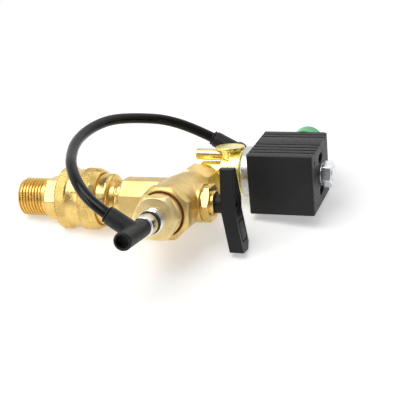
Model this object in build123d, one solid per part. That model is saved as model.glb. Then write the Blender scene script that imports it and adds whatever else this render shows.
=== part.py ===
"""Automatic condensate drain valve, all sizes in millimetres.

A quick coupler with a threaded nipple feeds a forged brass body.  The body holds a strainer in its
front leg, a ball valve in its middle and a drain solenoid at its rear.  A small flush hose joins the
strainer cap to the solenoid body.

Origin: centre of the end face of the inlet thread.  +X runs along the pipe into the valve and is also
the axis of the coupler, the ball stem and the solenoid.  +Y runs from the strainer to the solenoid.
+Z is up.
"""
from build123d import *
import math
import os

# ---------------------------------------------------------------- driving dimensions
# Clearances
running_clearance = 0.08        # radial, between pieces that turn or slide on each other
fitted_clearance = 0.05         # radial, between pieces that are screwed or pushed together
face_clearance = 0.1            # along the axis, between pieces that must not bind
cut_overrun = 1.0               # how far a cutting shape runs past the face that it cuts

# Inlet nipple
inlet_thread_radius = 10.4775   # G 1/2
inlet_thread_length = 17.0
inlet_thread_chamfer = 0.8
inlet_hex_flats = 22.0
inlet_hex_length = 8.0
inlet_hex_chamfer = 0.6
inlet_bore_radius = 6.5
nipple_tail_radius = 8.2
nipple_tail_length = 19.0
nipple_tail_chamfer = 1.0
nipple_end_room = 1.0           # between the nipple and the floor of the coupler's bore

# Quick coupler
coupler_gap = 0.6               # from the nipple's hexagon to the coupler body
coupler_wall = 3.1
coupler_barrel_length = 18.4
coupler_band_radius = 14.2
coupler_band_length = 11.3
coupler_band_round = 2.2
coupler_neck_radius = 11.0
coupler_neck_length = 6.2
neck_groove_depth = 0.9
neck_groove_width = 1.2
body_thread_radius = 10.4
body_thread_length = 11.5
coupler_throat_radius = 6.5
seal_section_radius = 0.9
seal_groove_play = 0.35         # each side of the seal, along the axis
seal_setback = 14.75            # from the nipple's hexagon to the middle of the coupler seal

# Locking balls and their sleeve
lock_ball_radius = 2.0
lock_ball_count = 8
lock_ball_setback = 8.5         # from the nipple's hexagon to the ball centres
clip_thickness = 1.0
clip_depth = 0.8                # how deep the clip sits in the coupler body
clip_height = 1.0               # how far the clip stands out of the coupler body
clip_play = 0.02                # each side of the clip, along the axis
clip_gap = 2.4                  # between the clip's ends
clip_room = 0.3                 # radial, from the clip to the sleeve
sleeve_radius = 17.0
sleeve_edge_chamfer = 0.8
sleeve_waist_slope = 0.6
sleeve_waist_radius = 16.0
sleeve_ring_width = 6.0
sleeve_waist_width = 8.0
sleeve_mouth_radius = 15.6
sleeve_mouth_length = 3.0
sleeve_length = 23.0
sleeve_land_width = 6.2
spring_wire_radius = 0.45
spring_turns = 2.5
spring_wall_gap = 1.5           # from the coupler barrel to the middle of the wire
lock_ball_play = 0.03           # between the locked balls and the sleeve
clip_wall = 0.6                 # between the clip's groove and the ball holes

# Valve body
leg_setback = 30.5              # from the start of the body to the axis of the strainer leg
barrel_flats = 24.0
leg_radius = 14.0
leg_front = 27.0                # from the ball centre to the front face of the leg
leg_rear = 21.0                 # from the ball centre to the rear face of the leg
collar_flats = 25.4
collar_length = 7.0
collar_chamfer = 1.2
inlet_pocket_radius = 7.5
inlet_pocket_length = 5.0
feed_radius = 3.2
feed_wall = 2.6
feed_lean = 23.6                # degrees between the feed drilling and the leg axis
strainer_bore_radius = 9.6
strainer_bore_depth = 14.0
throat_radius = 4.9
gland_boss_radius = 10.5
gland_boss_length = 14.5        # from the ball centre

# Ball valve
ball_radius = 8.0
ball_bore_radius = 4.8
ball_slot_width = 3.1
ball_slot_depth = 2.2
seat_length = 4.3
seat_reach = 9.5                # from the ball centre to the back of each seat
seat_land = 1.0                 # how far the body's cavity runs on behind the rear seat
cavity_gap = 0.4                # radial, round the ball
seat_play = 0.02                # between the ball and its seats
stem_radius = 3.5
stem_collar_radius = 5.4
stem_collar_length = 1.3
stem_square = 5.4
stem_cheek_rise = 0.6           # from the ball to the end of the stem's tang cheeks
packing_radius = 6.9
packing_length = 1.2
packing_floor = 10.6            # from the ball centre to the floor of the packing chamber

# Gland nut
gland_neck_radius = 9.4
gland_neck_length = 1.1
gland_hex_flats = 18.7
gland_hex_length = 3.6
gland_hex_chamfer = 0.8
gland_hub_radius = 6.8
gland_hub_length = 1.8
gland_hub_chamfer = 0.4

# Handle
handle_neck_radius = 5.2
handle_neck_length = 3.8
handle_thickness = 7.7
handle_half_width = 6.65
handle_top = 20.0
handle_bottom = 25.0
handle_bend = 3.0               # below the stem axis
handle_splay = 4.0              # how far the lower end stands out
handle_tip_width = 5.05         # width of the tapered upper end
handle_shoulder = 3.0           # above the stem axis, where the taper starts
handle_corner_cut = 3.2
handle_round = 0.8
handle_panel_margin = 2.2
handle_panel_gap = 1.0          # between the screw's recess and the panel, beyond the margin
handle_panel_corner = 1.0
handle_panel_inner_corner = 0.6
handle_panel_line = 0.8
handle_panel_depth = 0.5
screw_head_radius = 4.7
screw_head_room = 0.3           # radial, round the head
screw_head_height = 2.9
screw_head_round = 0.5
screw_head_sink = 0.8           # below the handle's face
screw_shank_radius = 1.95
screw_shank_length = 9.0
screw_key_flats = 4.0
screw_key_depth = 1.8

# Outlet adaptor
adaptor_thread_radius = 11.45
adaptor_hex_flats = 22.6
adaptor_hex_length = 15.5
adaptor_hex_lean = 9.0          # degrees, as tightened
adaptor_hex_chamfer = 0.9
adaptor_neck_step = 2.0         # from the thread down to the neck that holds the seal
adaptor_seal_setback = 1.6      # below the leg's skin
adaptor_bore_radius = 5.4
adaptor_nose_radius = 8.33      # G 3/8
adaptor_nose_length = 10.0
seal_thickness = 1.0

# Strainer cap and screen
cap_thread_radius = 9.55
cap_thread_length = 6.0
cap_flange_radius = 11.6
cap_flange_length = 7.8
cap_recess_radius = 12.1
cap_recess_depth = 2.0
cap_hex_flats = 21.0
cap_hex_length = 3.2
cap_hex_root = 1.0              # how far the hexagon runs into the flange
cap_hex_chamfer = 0.9
cap_gasket_setback = 0.2
cap_hollow_radius = 8.0
cap_hollow_depth = 11.0
screen_radius = 7.5
screen_wall = 0.6
screen_window_width = 2.6
screen_window_length = 4.2
screen_window_rows = 3
screen_window_columns = 8

# Nickel studs of the two hose elbows
stud_thread_radius = 4.85
stud_ring_radius = 6.45
stud_ring_length = 5.4
stud_ring_chamfer = 0.7
stud_neck_radius = 4.2
stud_neck_length = 2.4
stud_seal_section = 0.9
stud_collar_radius = 5.5
stud_collar_length = 8.2
stud_collar_round = 0.9
stud_tip_radius = 2.6
stud_tip_length = 5.0
stud_bore_radius = 1.6

# Hose elbows, push-in collets and hose
front_hose_lead = 23.9          # from the swivel axis to the hose's first bend
rear_hose_lead = 23.6
hose_arc_share = 0.45           # of the shorter run, that each bend takes
elbow_radius = 4.65
elbow_round = 0.7
elbow_tip_room = 1.5            # beyond the stud's tip
elbow_gap = 0.4                 # from the stud's collar to the elbow
elbow_reach = 8.6               # from the elbow's foot to its socket axis
front_elbow_nose = 16.0         # from the socket axis to the open end
rear_elbow_reach = 4.8
rear_elbow_nose = 4.8
elbow_recess_radius = 3.3
elbow_recess_depth = 4.0
socket_radius = 4.6
socket_length = 15.1            # from the swivel axis to the mouth
socket_bore_radius = 3.78
hose_radius = 3.0
hose_wall = 1.0
hose_stop = 9.5                 # from the swivel axis to the end of the hose
collet_wall = 0.55
collet_flange_radius = 4.3
collet_flange_thickness = 0.7
collet_travel = 0.7
collet_depth = 4.4
front_socket_lean = 31.6        # degrees above the pipe direction
rear_socket_lean = 27.0

# Solenoid body
solenoid_y = 45.7
solenoid_z = 7.3
port_radius = 11.5
port_length = 14.5
housing_radius = 9.8
housing_reach = 24.0            # from the leg axis to the flange
flange_radius = 14.0
flange_length = 3.5
tower_radius = 6.8
tower_setback = 16.5            # from the leg axis to the tower axis
tower_top = 22.5
tower_round = 1.5
rear_boss_radius = 4.4
rear_boss_length = 9.0          # from the tower axis to the boss's face
rear_boss_setback = 2.0         # from the tower axis towards the inlet
rear_boss_z = 15.8
rear_stud_ring_length = 1.6
rear_stud_flats = 8.6
rear_stud_chamfer = 0.4
rear_stud_thread_radius = 3.0
rear_stud_thread_length = 4.0
flush_drill_radius = 1.0
nozzle_radius = 4.2
nozzle_bore_radius = 2.0
nozzle_height = 3.0
chamber_radius = 8.2
chamber_depth = 9.0
spigot_radius = 3.15
spigot_bore_radius = 2.0
spigot_chamfer = 0.4
spigot_step = 0.4               # radial, to the end that sits in the tower
spigot_length = 19.0
spigot_stop = 2.5               # from the tower axis to the inner end of the spigot
spigot_z = 16.8
pilot_radius = 2.2
riser_radius = 1.8

# Armature
tube_flange_radius = 13.5
tube_flange_length = 3.1
tube_radius = 6.1
tube_wall = 1.0
tube_length = 27.5
plunger_stroke = 1.4
plunger_nose_radius = 4.2
plunger_nose_length = 5.0
core_depth = 5.0                # how far the fixed core reaches into the tube
disc_radius = 3.4
disc_thickness = 1.6
disc_play = 0.05                # each side of the disc
return_spring_radius = 1.9
return_wire_radius = 0.35
return_spring_length = 14.0
return_spring_turns = 8.0
core_stud_radius = 3.95
core_stud_length = 7.0
core_stud_root = 1.0            # how far the stud reaches back into the coil
core_stud_chamfer = 0.6

# Coil
coil_length = 36.3
coil_height = 33.7
coil_depth = 42.2
coil_roll = 8.6                 # degrees about the solenoid axis
coil_round = 1.2
coil_rear_round = 7.0
rib_groove_width = 1.1
rib_groove_depth = 0.8
front_rib_start = 6.5           # from the coil's front face to its first groove
front_rib_pitch = 4.4
front_rib_count = 4
rear_rib_start = 32.4           # from the coil's front face to the first rear groove
rear_rib_pitch = 4.0
rear_rib_count = 2
coil_end_wall = 1.8
yoke_thickness = 2.2
yoke_half_height = 12.0
yoke_back = 17.0
bobbin_radius = 11.5
port_hole_radius = 2.2
port_hole_offset = 9.6
slit_width = 1.2
slit_length = 5.5
slit_drop = 12.0                # from the coil's top to the middle of the slit
slit_depth = 1.5
coil_bore_gap = 0.15            # radial, round the armature tube
washer_radius = 8.0
washer_thickness = 1.4
nut_flats = 13.0
nut_height = 5.2
nut_chamfer = 0.7
nut_turn = 30.0                 # degrees, as tightened, from the coil's own upright
hub_radius = 8.0
hub_length = 11.0
hub_wall = 1.6
hub_up = 7.7
hub_along = 22.4                # from the coil's flange end to the hub axis
cap_wall = 0.7
cap_rim_height = 0.75
cap_rim_length = 2.0
terminal_width = 5.0
terminal_thickness = 0.8
terminal_length = 8.0
terminal_spacing = 4.4

# ---------------------------------------------------------------- stations worked out from them
hex_end = inlet_thread_length + inlet_hex_length
tail_bore_radius = nipple_tail_radius + running_clearance
coupler_start = hex_end + coupler_gap
coupler_radius = tail_bore_radius + coupler_wall
band_start = coupler_start + coupler_barrel_length
band_end = band_start + coupler_band_length
body_start = band_end + coupler_neck_length
sleeve_land_radius = coupler_radius + running_clearance
lock_x = hex_end + lock_ball_setback
lock_orbit = sleeve_land_radius - lock_ball_play - lock_ball_radius
lock_hole_radius = lock_ball_radius + fitted_clearance
clip_end = lock_x - lock_hole_radius - clip_wall
clip_start = clip_end - clip_thickness
clip_radius = coupler_radius + clip_height
sleeve_start = coupler_start - face_clearance
land_start = clip_end + face_clearance
land_end = land_start + sleeve_land_width
spring_radius = coupler_radius + spring_wall_gap
seal_x = hex_end + seal_setback
nipple_end = hex_end + nipple_tail_length

leg_x = body_start + leg_setback
packing_start = leg_x + packing_floor
gland_face = leg_x + gland_boss_length
gland_hex_start = gland_face + gland_neck_length
gland_hex_end = gland_hex_start + gland_hex_length
gland_end = gland_hex_end + gland_hub_length
handle_start = gland_end + 2 * face_clearance
handle_inner = handle_start + handle_neck_length
handle_outer = handle_inner + handle_thickness
screw_seat = handle_outer - screw_head_height - screw_head_sink
stem_end = screw_seat - 5 * face_clearance
stem_square_start = handle_start - face_clearance

cavity_radius = ball_radius + cavity_gap
adaptor_thread_start = seat_reach + seat_land
adaptor_face = leg_rear + adaptor_hex_length
cap_seat = -leg_front + cap_recess_depth
cap_flange_front = cap_seat - seal_thickness - cap_flange_length
cap_face = cap_flange_front - cap_hex_length
strainer_end = -leg_front + strainer_bore_depth
cap_hollow_front = cap_seat + cap_thread_length - cap_hollow_depth

stud_length = stud_ring_length + stud_neck_length + stud_collar_length
front_foot = cap_face - stud_length - elbow_gap
front_elbow_y = front_foot - elbow_reach

flange_start = leg_x + housing_reach
flange_end = flange_start + flange_length
coil_start = flange_end + tube_flange_length
coil_end = coil_start + coil_length
tower_x = leg_x + tower_setback
rear_boss_x = tower_x - rear_boss_setback
chamber_floor = flange_end - chamber_depth
nozzle_face = chamber_floor + nozzle_height
core_start = coil_start + tube_length - core_depth
rear_boss_face = solenoid_y + rear_boss_length
rear_foot = rear_boss_face + rear_stud_ring_length + elbow_gap
rear_elbow_y = rear_foot + rear_elbow_reach
tube_bore_radius = tube_radius - tube_wall
plunger_radius = tube_bore_radius - running_clearance


# ---------------------------------------------------------------- places and small helpers
def along_x(x, y=0.0, z=0.0):
    """A place whose local Z runs along +X and whose local X runs along +Y."""
    return Plane(origin=(x, y, z), x_dir=(0, 1, 0), z_dir=(1, 0, 0))


def along_y(y, x=None, z=0.0):
    """A place whose local Z runs along +Y, on the leg axis unless x says otherwise."""
    x = leg_x if x is None else x
    return Plane(origin=(x, y, z), x_dir=(1, 0, 0), z_dir=(0, 1, 0))


def socket_place(y, x, z, lean):
    """A place whose local Z leaves an elbow's swivel axis towards -X, leaning up."""
    turn = math.radians(lean)
    out = (-math.cos(turn), 0, math.sin(turn))
    return Plane(origin=(x, y, z), x_dir=(0, 1, 0), z_dir=out)


def coil_place():
    """The coil's own frame: local X along the solenoid, local Y to the rear, local Z up."""
    turn = math.radians(coil_roll)
    up = (0, -math.sin(turn), math.cos(turn))
    return Plane(origin=(coil_start, solenoid_y, solenoid_z), x_dir=(1, 0, 0), z_dir=up)


def front_swivel():
    return socket_place(front_elbow_y, leg_x, 0, front_socket_lean)


def rear_swivel():
    return socket_place(rear_elbow_y, rear_boss_x, rear_boss_z, rear_socket_lean)


def rod(place, start, end, radius):
    """A round bar along the place's Z axis."""
    low = Align.MIN
    return place * Pos(0, 0, start) * Cylinder(radius, end - start, align=(Align.CENTER, Align.CENTER, low))


def pipe(place, start, end, outer, inner):
    """A round bar with a round hole."""
    return rod(place, start, end, outer) - rod(place, start, end, inner)


def prism(place, start, end, flats, sides, turn=0.0, chamfer_size=0.0):
    """A many-sided bar, with its far and near corners turned down to a cone."""
    outline = RegularPolygon(flats / 2, sides, major_radius=False, rotation=turn)
    bar = place * Pos(0, 0, start) * extrude(outline, end - start)
    if chamfer_size:
        corner = flats / 2 / math.cos(math.pi / sides)
        blank = Pos(0, 0, (start + end) / 2) * Cylinder(corner, end - start)
        bar = bar & (place * chamfer(blank.edges().filter_by(GeomType.CIRCLE), chamfer_size))
    return bar


def lathe(place, outline):
    """Turn an outline of (radius, distance) points about the place's Z axis."""
    with BuildPart() as turned:
        with BuildSketch(Plane.XZ):
            with BuildLine():
                Polyline(*outline, close=True)
            make_face()
        revolve(axis=Axis.Z)
    return place * turned.part


def spring(place, start, end, mean_radius, wire_radius, turns):
    """A wound spring between two faces, along the place's Z axis."""
    rise = end - start - 2 * wire_radius
    coil = Helix(pitch=rise / turns, height=rise, radius=mean_radius)
    section = Plane(origin=coil @ 0, z_dir=coil % 0) * Circle(wire_radius)
    return place * Pos(0, 0, start + wire_radius) * sweep(section, coil, is_frenet=True)


def ring_seal(place, distance, mean_radius, section_radius):
    return place * Pos(0, 0, distance) * Torus(mean_radius, section_radius)


def one(shape):
    """The single solid of a finished piece."""
    return shape.solids()[0] if len(shape.solids()) == 1 else shape


# ---------------------------------------------------------------- inlet nipple and quick coupler
def inlet_nipple():
    pipe_axis = along_x(0)
    thread = rod(pipe_axis, 0, inlet_thread_length, inlet_thread_radius)
    lead = thread.edges().filter_by(GeomType.CIRCLE).sort_by(Axis.X)[0]
    thread = chamfer(lead, inlet_thread_chamfer)
    hexagon = prism(pipe_axis, inlet_thread_length, hex_end, inlet_hex_flats, 6, 0, inlet_hex_chamfer)
    tail = rod(pipe_axis, hex_end, nipple_end, nipple_tail_radius)
    tail = chamfer(tail.edges().filter_by(GeomType.CIRCLE).sort_by(Axis.X)[-1], nipple_tail_chamfer)
    groove = ring_seal(pipe_axis, lock_x, lock_orbit, lock_ball_radius + running_clearance)
    bore = rod(pipe_axis, 0, nipple_end, inlet_bore_radius)
    return thread + hexagon + tail - groove - bore


def coupler_body():
    pipe_axis = along_x(0)
    barrel = rod(pipe_axis, coupler_start, band_start, coupler_radius)
    band = rod(pipe_axis, band_start, band_end, coupler_band_radius)
    band = fillet(band.edges().filter_by(GeomType.CIRCLE).sort_by(Axis.X)[-1], coupler_band_round)
    neck = rod(pipe_axis, band_end, body_start, coupler_neck_radius)
    thread = rod(pipe_axis, body_start, body_start + body_thread_length, body_thread_radius)
    body = barrel + band + neck + thread
    neck_middle = (band_end + body_start) / 2
    body -= pipe(
        pipe_axis,
        neck_middle - neck_groove_width / 2,
        neck_middle + neck_groove_width / 2,
        coupler_neck_radius + cut_overrun,
        coupler_neck_radius - neck_groove_depth,
    )
    body -= rod(pipe_axis, coupler_start, nipple_end + nipple_end_room, tail_bore_radius)
    body -= rod(pipe_axis, nipple_end, body_start + body_thread_length, coupler_throat_radius)
    seal_room = seal_section_radius + seal_groove_play
    body -= rod(pipe_axis, seal_x - seal_room, seal_x + seal_room, seal_outer_radius() + fitted_clearance)
    body -= pipe(pipe_axis, clip_start, clip_end, coupler_radius + cut_overrun, coupler_radius - clip_depth)
    for place in lock_places():
        body -= place * Cylinder(lock_hole_radius, 4 * coupler_wall)
    return body


def seal_mean_radius():
    return nipple_tail_radius + fitted_clearance + seal_section_radius


def seal_outer_radius():
    return seal_mean_radius() + seal_section_radius


def lock_places():
    """One place per locking ball, with local Z pointing out from the pipe axis."""
    places = []
    for index in range(lock_ball_count):
        turn = math.tau * index / lock_ball_count
        out = (0, math.cos(turn), math.sin(turn))
        centre = (lock_x, lock_orbit * out[1], lock_orbit * out[2])
        places.append(Plane(origin=centre, x_dir=(1, 0, 0), z_dir=out))
    return places


def coupler_balls():
    return Compound([place * Sphere(lock_ball_radius) for place in lock_places()])


def coupler_seal():
    return ring_seal(along_x(0), seal_x, seal_mean_radius(), seal_section_radius)


def sleeve_clip():
    inner = coupler_radius - clip_depth + fitted_clearance
    ring = pipe(along_x(0), clip_start + clip_play, clip_end - clip_play, clip_radius, inner)
    gap = along_x(clip_start) * Pos(0, clip_radius, 0) * Box(clip_gap, 2 * clip_radius, 4 * clip_thickness)
    return ring - gap


def coupler_sleeve():
    ring_end = sleeve_start + sleeve_ring_width
    waist_end = ring_end + sleeve_waist_width
    sleeve_end = sleeve_start + sleeve_length
    mouth_start = sleeve_end - sleeve_mouth_length
    clip_bore = clip_radius + clip_room
    chamber = coupler_band_radius + 2 * face_clearance
    outline = [
        (clip_bore, sleeve_start),
        (sleeve_radius - sleeve_edge_chamfer, sleeve_start),
        (sleeve_radius, sleeve_start + sleeve_edge_chamfer),
        (sleeve_radius, ring_end),
        (sleeve_waist_radius, ring_end + sleeve_waist_slope),
        (sleeve_waist_radius, waist_end - sleeve_waist_slope),
        (sleeve_radius, waist_end),
        (sleeve_radius, mouth_start),
        (sleeve_mouth_radius, sleeve_end),
        (chamber, sleeve_end),
        (chamber, land_end),
        (sleeve_land_radius, land_end),
        (sleeve_land_radius, land_start),
        (clip_bore, land_start),
    ]
    return lathe(along_x(0), outline)


def coupler_spring():
    start = land_end + face_clearance
    end = band_start - face_clearance
    return spring(along_x(0), start, end, spring_radius, spring_wire_radius, spring_turns)


# ---------------------------------------------------------------- valve body
def feed_place():
    """The oblique drilling that takes the flow from the inlet pocket to the strainer."""
    lean = math.radians(feed_lean)
    start = (body_start + body_thread_length + 3.0, -3.0, 0)
    return Plane(origin=start, x_dir=(0, 0, 1), z_dir=(math.sin(lean), -math.cos(lean), 0))


def valve_body():
    pipe_axis = along_x(0)
    leg = along_y(0)
    half_turn = 180 / 8
    feed_length = leg_front - collar_length - 3.0
    body = prism(pipe_axis, body_start, leg_x, barrel_flats, 8, half_turn)
    body += rod(leg, -leg_front + collar_length, leg_rear, leg_radius)
    body += prism(leg, -leg_front, -leg_front + collar_length, collar_flats, 8, half_turn, collar_chamfer)
    body += rod(pipe_axis, leg_x, gland_face, gland_boss_radius)
    body += rod(feed_place(), 0, feed_length, feed_radius + feed_wall)
    thread_end = body_start + body_thread_length + 1.0
    body -= rod(pipe_axis, body_start, thread_end, body_thread_radius + fitted_clearance)
    body -= rod(pipe_axis, thread_end, thread_end + inlet_pocket_length, inlet_pocket_radius)
    body -= rod(feed_place(), 0, feed_length, feed_radius)
    body -= rod(leg, -seat_reach, adaptor_thread_start, cavity_radius)
    body -= rod(leg, adaptor_thread_start, leg_rear, adaptor_thread_radius + fitted_clearance)
    body -= rod(leg, strainer_end, -seat_reach, throat_radius)
    body -= rod(leg, strainer_end, strainer_end + 1.0, screen_radius + fitted_clearance)
    body -= rod(leg, -leg_front, strainer_end, strainer_bore_radius)
    body -= rod(leg, -leg_front, cap_seat, cap_recess_radius)
    body -= rod(pipe_axis, leg_x + ball_radius - 1.0, packing_start, stem_radius + running_clearance)
    body -= rod(pipe_axis, packing_start, gland_face, packing_radius + fitted_clearance)
    return body


def ball():
    sphere = Pos(leg_x, 0, 0) * Sphere(ball_radius)
    closed_bore = Plane(origin=(leg_x, 0, 0), z_dir=(0, 0, 1))
    sphere -= rod(closed_bore, -ball_radius, ball_radius, ball_bore_radius)
    slot_depth = 2 * ball_slot_depth
    slot = Pos(leg_x + ball_radius, 0, 0) * Box(slot_depth, ball_slot_width, 4 * ball_radius)
    return sphere - slot


def seat(side):
    """A PTFE ring that seals on the ball, in front of it (-1) or behind it (1)."""
    place = along_y(0)
    near = seat_reach - seat_length
    start, end = sorted((side * near, side * seat_reach))
    ring = pipe(place, start, end, cavity_radius - fitted_clearance, throat_radius + fitted_clearance)
    return ring - Pos(leg_x, 0, 0) * Sphere(ball_radius + seat_play)


def front_seat():
    return seat(-1)


def rear_seat():
    return seat(1)


def stem():
    axis = along_x(0)
    tang_start = leg_x + ball_radius - ball_slot_depth + face_clearance
    shoulder = leg_x + ball_radius + stem_cheek_rise
    collar_start = packing_start + face_clearance
    shaft = rod(axis, tang_start, stem_square_start, stem_radius)
    cheek = shoulder - tang_start
    for side in (-1, 1):
        offset = side * (ball_slot_width / 2 - fitted_clearance + stem_radius)
        shaft -= Pos(tang_start + cheek / 2, offset, 0) * Box(cheek, 2 * stem_radius, 4 * stem_radius)
    shaft += rod(axis, collar_start, collar_start + stem_collar_length, stem_collar_radius)
    shaft += prism(axis, stem_square_start, stem_end, stem_square, 4, 45)
    hole_start = screw_seat - screw_shank_length - face_clearance
    return shaft - rod(axis, hole_start, stem_end, screw_shank_radius + fitted_clearance)


def stem_packing():
    start = packing_start + 2 * face_clearance + stem_collar_length
    return pipe(along_x(0), start, start + packing_length, packing_radius, stem_radius + running_clearance)


def gland_nut():
    axis = along_x(0)
    start = packing_start + 3 * face_clearance + stem_collar_length + packing_length
    nut = rod(axis, start, gland_face, packing_radius)
    nut += rod(axis, gland_face, gland_hex_start, gland_neck_radius)
    nut += prism(axis, gland_hex_start, gland_hex_end, gland_hex_flats, 6, 0, gland_hex_chamfer)
    hub = rod(axis, gland_hex_end, gland_end, gland_hub_radius)
    nut += chamfer(hub.edges().filter_by(GeomType.CIRCLE).sort_by(Axis.X)[-1], gland_hub_chamfer)
    return nut - rod(axis, start, gland_end, stem_radius + running_clearance)


# ---------------------------------------------------------------- handle
def handle_slope():
    """Degrees by which the lower arm leans out."""
    return math.degrees(math.atan2(handle_splay, handle_bottom - handle_bend))


def handle():
    side = Polyline(
        (handle_inner, handle_top),
        (handle_outer, handle_top),
        (handle_outer, -handle_bend),
        (handle_outer + handle_splay, -handle_bottom),
        (handle_inner + handle_splay, -handle_bottom),
        (handle_inner, -handle_bend),
        close=True,
    )
    slab = extrude(Plane.XZ * make_face(Plane.XY * side), handle_half_width, both=True)
    half = handle_half_width
    face = Polyline(
        (-half, handle_top),
        (handle_tip_width - half, handle_top),
        (half, handle_shoulder),
        (half, handle_corner_cut - handle_bottom),
        (half - handle_corner_cut, -handle_bottom),
        (-half, -handle_bottom),
        close=True,
    )
    reach = handle_thickness + handle_splay
    front_view = Plane(origin=(handle_inner, 0, 0), x_dir=(0, 1, 0), z_dir=(1, 0, 0))
    outline = front_view * extrude(make_face(face), reach)
    grip = slab & outline
    grip = fillet(grip.edges().filter_by(Axis.Y, reverse=True), handle_round)
    grip += rod(along_x(0), handle_start, handle_inner + handle_round, handle_neck_radius)
    grip -= prism(along_x(0), handle_start, handle_outer, stem_square + 2 * fitted_clearance, 4, 45)
    grip -= rod(along_x(0), screw_seat, handle_outer + cut_overrun, screw_head_radius + screw_head_room)
    return grip - handle_panel()


def handle_panel():
    """The shallow framed panel on the outer face of the lower arm."""
    slope = math.radians(handle_slope())
    low = screw_head_radius + handle_panel_margin + handle_panel_gap
    length = handle_bottom - low - handle_panel_margin - handle_corner_cut
    width = 2 * (handle_half_width - handle_panel_margin)
    middle = low + length / 2
    x = handle_outer + (middle - handle_bend) * math.tan(slope)
    place = Plane(origin=(x, 0, -middle), x_dir=(0, 1, 0), z_dir=(math.cos(slope), 0, math.sin(slope)))
    outer = RectangleRounded(width, length, handle_panel_corner)
    inner_width = width - 2 * handle_panel_line
    inner_length = length - 2 * handle_panel_line
    inner = RectangleRounded(inner_width, inner_length, handle_panel_inner_corner)
    return place * extrude(outer - inner, handle_panel_depth, both=True)


def handle_screw():
    axis = along_x(0)
    head_end = screw_seat + screw_head_height
    head = rod(axis, screw_seat, head_end, screw_head_radius)
    head = fillet(head.edges().filter_by(GeomType.CIRCLE).sort_by(Axis.X)[-1], screw_head_round)
    screw = head + rod(axis, screw_seat - screw_shank_length, screw_seat, screw_shank_radius)
    return screw - prism(axis, head_end - screw_key_depth, head_end, screw_key_flats, 6)


# ---------------------------------------------------------------- strainer
def strainer_screen():
    leg = along_y(0)
    front = cap_hollow_front + face_clearance
    rear = strainer_end + 1.0 - face_clearance
    screen = pipe(leg, front, rear, screen_radius, screen_radius - screen_wall)
    pitch = (rear - front) / screen_window_rows
    for row in range(screen_window_rows):
        middle = front + pitch * (row + 0.5)
        for column in range(screen_window_columns // 2):
            turn = 360 * column / screen_window_columns
            window = Box(screen_window_width, 4 * screen_radius, screen_window_length)
            screen -= leg * Pos(0, 0, middle) * Rot(0, 0, turn) * window
    return screen


def strainer_cap():
    leg = along_y(0)
    flange_rear = cap_seat - seal_thickness
    cap = rod(leg, flange_rear, cap_seat + cap_thread_length, cap_thread_radius)
    flange = rod(leg, cap_flange_front, flange_rear, cap_flange_radius)
    cap += chamfer(flange.edges().filter_by(GeomType.CIRCLE).sort_by(Axis.Y)[0], 0.8)
    cap += prism(leg, cap_face, cap_flange_front + cap_hex_root, cap_hex_flats, 6, 0, cap_hex_chamfer)
    cap -= rod(leg, cap_hollow_front, cap_seat + cap_thread_length, cap_hollow_radius)
    return cap - rod(leg, cap_face, cap_hollow_front, stud_thread_radius + fitted_clearance)


def cap_gasket():
    inner = cap_thread_radius + face_clearance
    outer = cap_flange_radius - cap_gasket_setback
    return pipe(along_y(0), cap_seat - seal_thickness, cap_seat, outer, inner)


# ---------------------------------------------------------------- hose studs, elbows, collets and hose
def cap_stud():
    """The nickel stud that carries the front elbow."""
    leg = along_y(0)
    ring_front = cap_face - stud_ring_length
    neck_front = ring_front - stud_neck_length
    ring = rod(leg, ring_front, cap_face, stud_ring_radius)
    ring = chamfer(ring.edges().filter_by(GeomType.CIRCLE).sort_by(Axis.Y)[0], stud_ring_chamfer)
    collar = rod(leg, neck_front - stud_collar_length, neck_front, stud_collar_radius)
    collar = fillet(collar.edges().filter_by(GeomType.CIRCLE), stud_collar_round)
    stud = rod(leg, cap_face, cap_hollow_front, stud_thread_radius)
    stud += ring
    stud += rod(leg, neck_front, ring_front, stud_neck_radius)
    stud += collar
    stud += rod(leg, front_foot - stud_tip_length, neck_front, stud_tip_radius)
    return stud - rod(leg, front_foot - stud_tip_length, cap_hollow_front, stud_bore_radius)


def stud_seal():
    """The ring in the front stud's neck."""
    middle = cap_face - stud_ring_length - stud_neck_length / 2
    mean_radius = stud_neck_radius + stud_seal_section + fitted_clearance
    return ring_seal(along_y(0), middle, mean_radius, stud_seal_section)


def elbow(swivel, leg, foot, nose, side):
    """A swivel elbow: a round barrel on the stud and a push-in socket for the hose.

    side is -1 for a barrel that runs towards -Y from its foot, 1 towards +Y.
    """
    start, end = sorted((foot, nose))
    barrel = rod(leg, start, end, elbow_radius)
    rims = barrel.edges().filter_by(GeomType.CIRCLE)
    barrel = fillet(rims, elbow_round)
    body = barrel + rod(swivel, 0, socket_length, socket_radius)
    tip_end = foot + side * (stud_tip_length + elbow_tip_room)
    low, high = sorted((foot, tip_end))
    body -= rod(leg, low, high, stud_tip_radius + fitted_clearance)
    body -= rod(swivel, 0, hose_stop, hose_radius - hose_wall)
    body -= rod(swivel, hose_stop, socket_length, hose_radius + running_clearance)
    collet_floor = socket_length - collet_depth - collet_travel - 2 * face_clearance
    return body - rod(swivel, collet_floor, socket_length, socket_bore_radius)


def front_elbow():
    nose = front_elbow_y - front_elbow_nose
    body = elbow(front_swivel(), along_y(0), front_foot, nose, -1)
    return body - rod(along_y(0), nose, nose + elbow_recess_depth, elbow_recess_radius)


def rear_leg():
    return along_y(0, rear_boss_x, rear_boss_z)


def rear_elbow():
    nose = rear_elbow_y + rear_elbow_nose
    return elbow(rear_swivel(), rear_leg(), rear_foot, nose, 1)


def collet(swivel):
    """The ring that is pressed in to let the hose go."""
    inner = hose_radius + running_clearance
    outer = inner + collet_wall
    flange_start_at = socket_length + collet_travel + face_clearance
    face = flange_start_at + collet_flange_thickness
    ring = pipe(swivel, socket_length - collet_depth, face, outer, inner)
    flange = pipe(
        swivel,
        flange_start_at,
        flange_start_at + collet_flange_thickness,
        collet_flange_radius,
        inner,
    )
    return ring + flange


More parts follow.
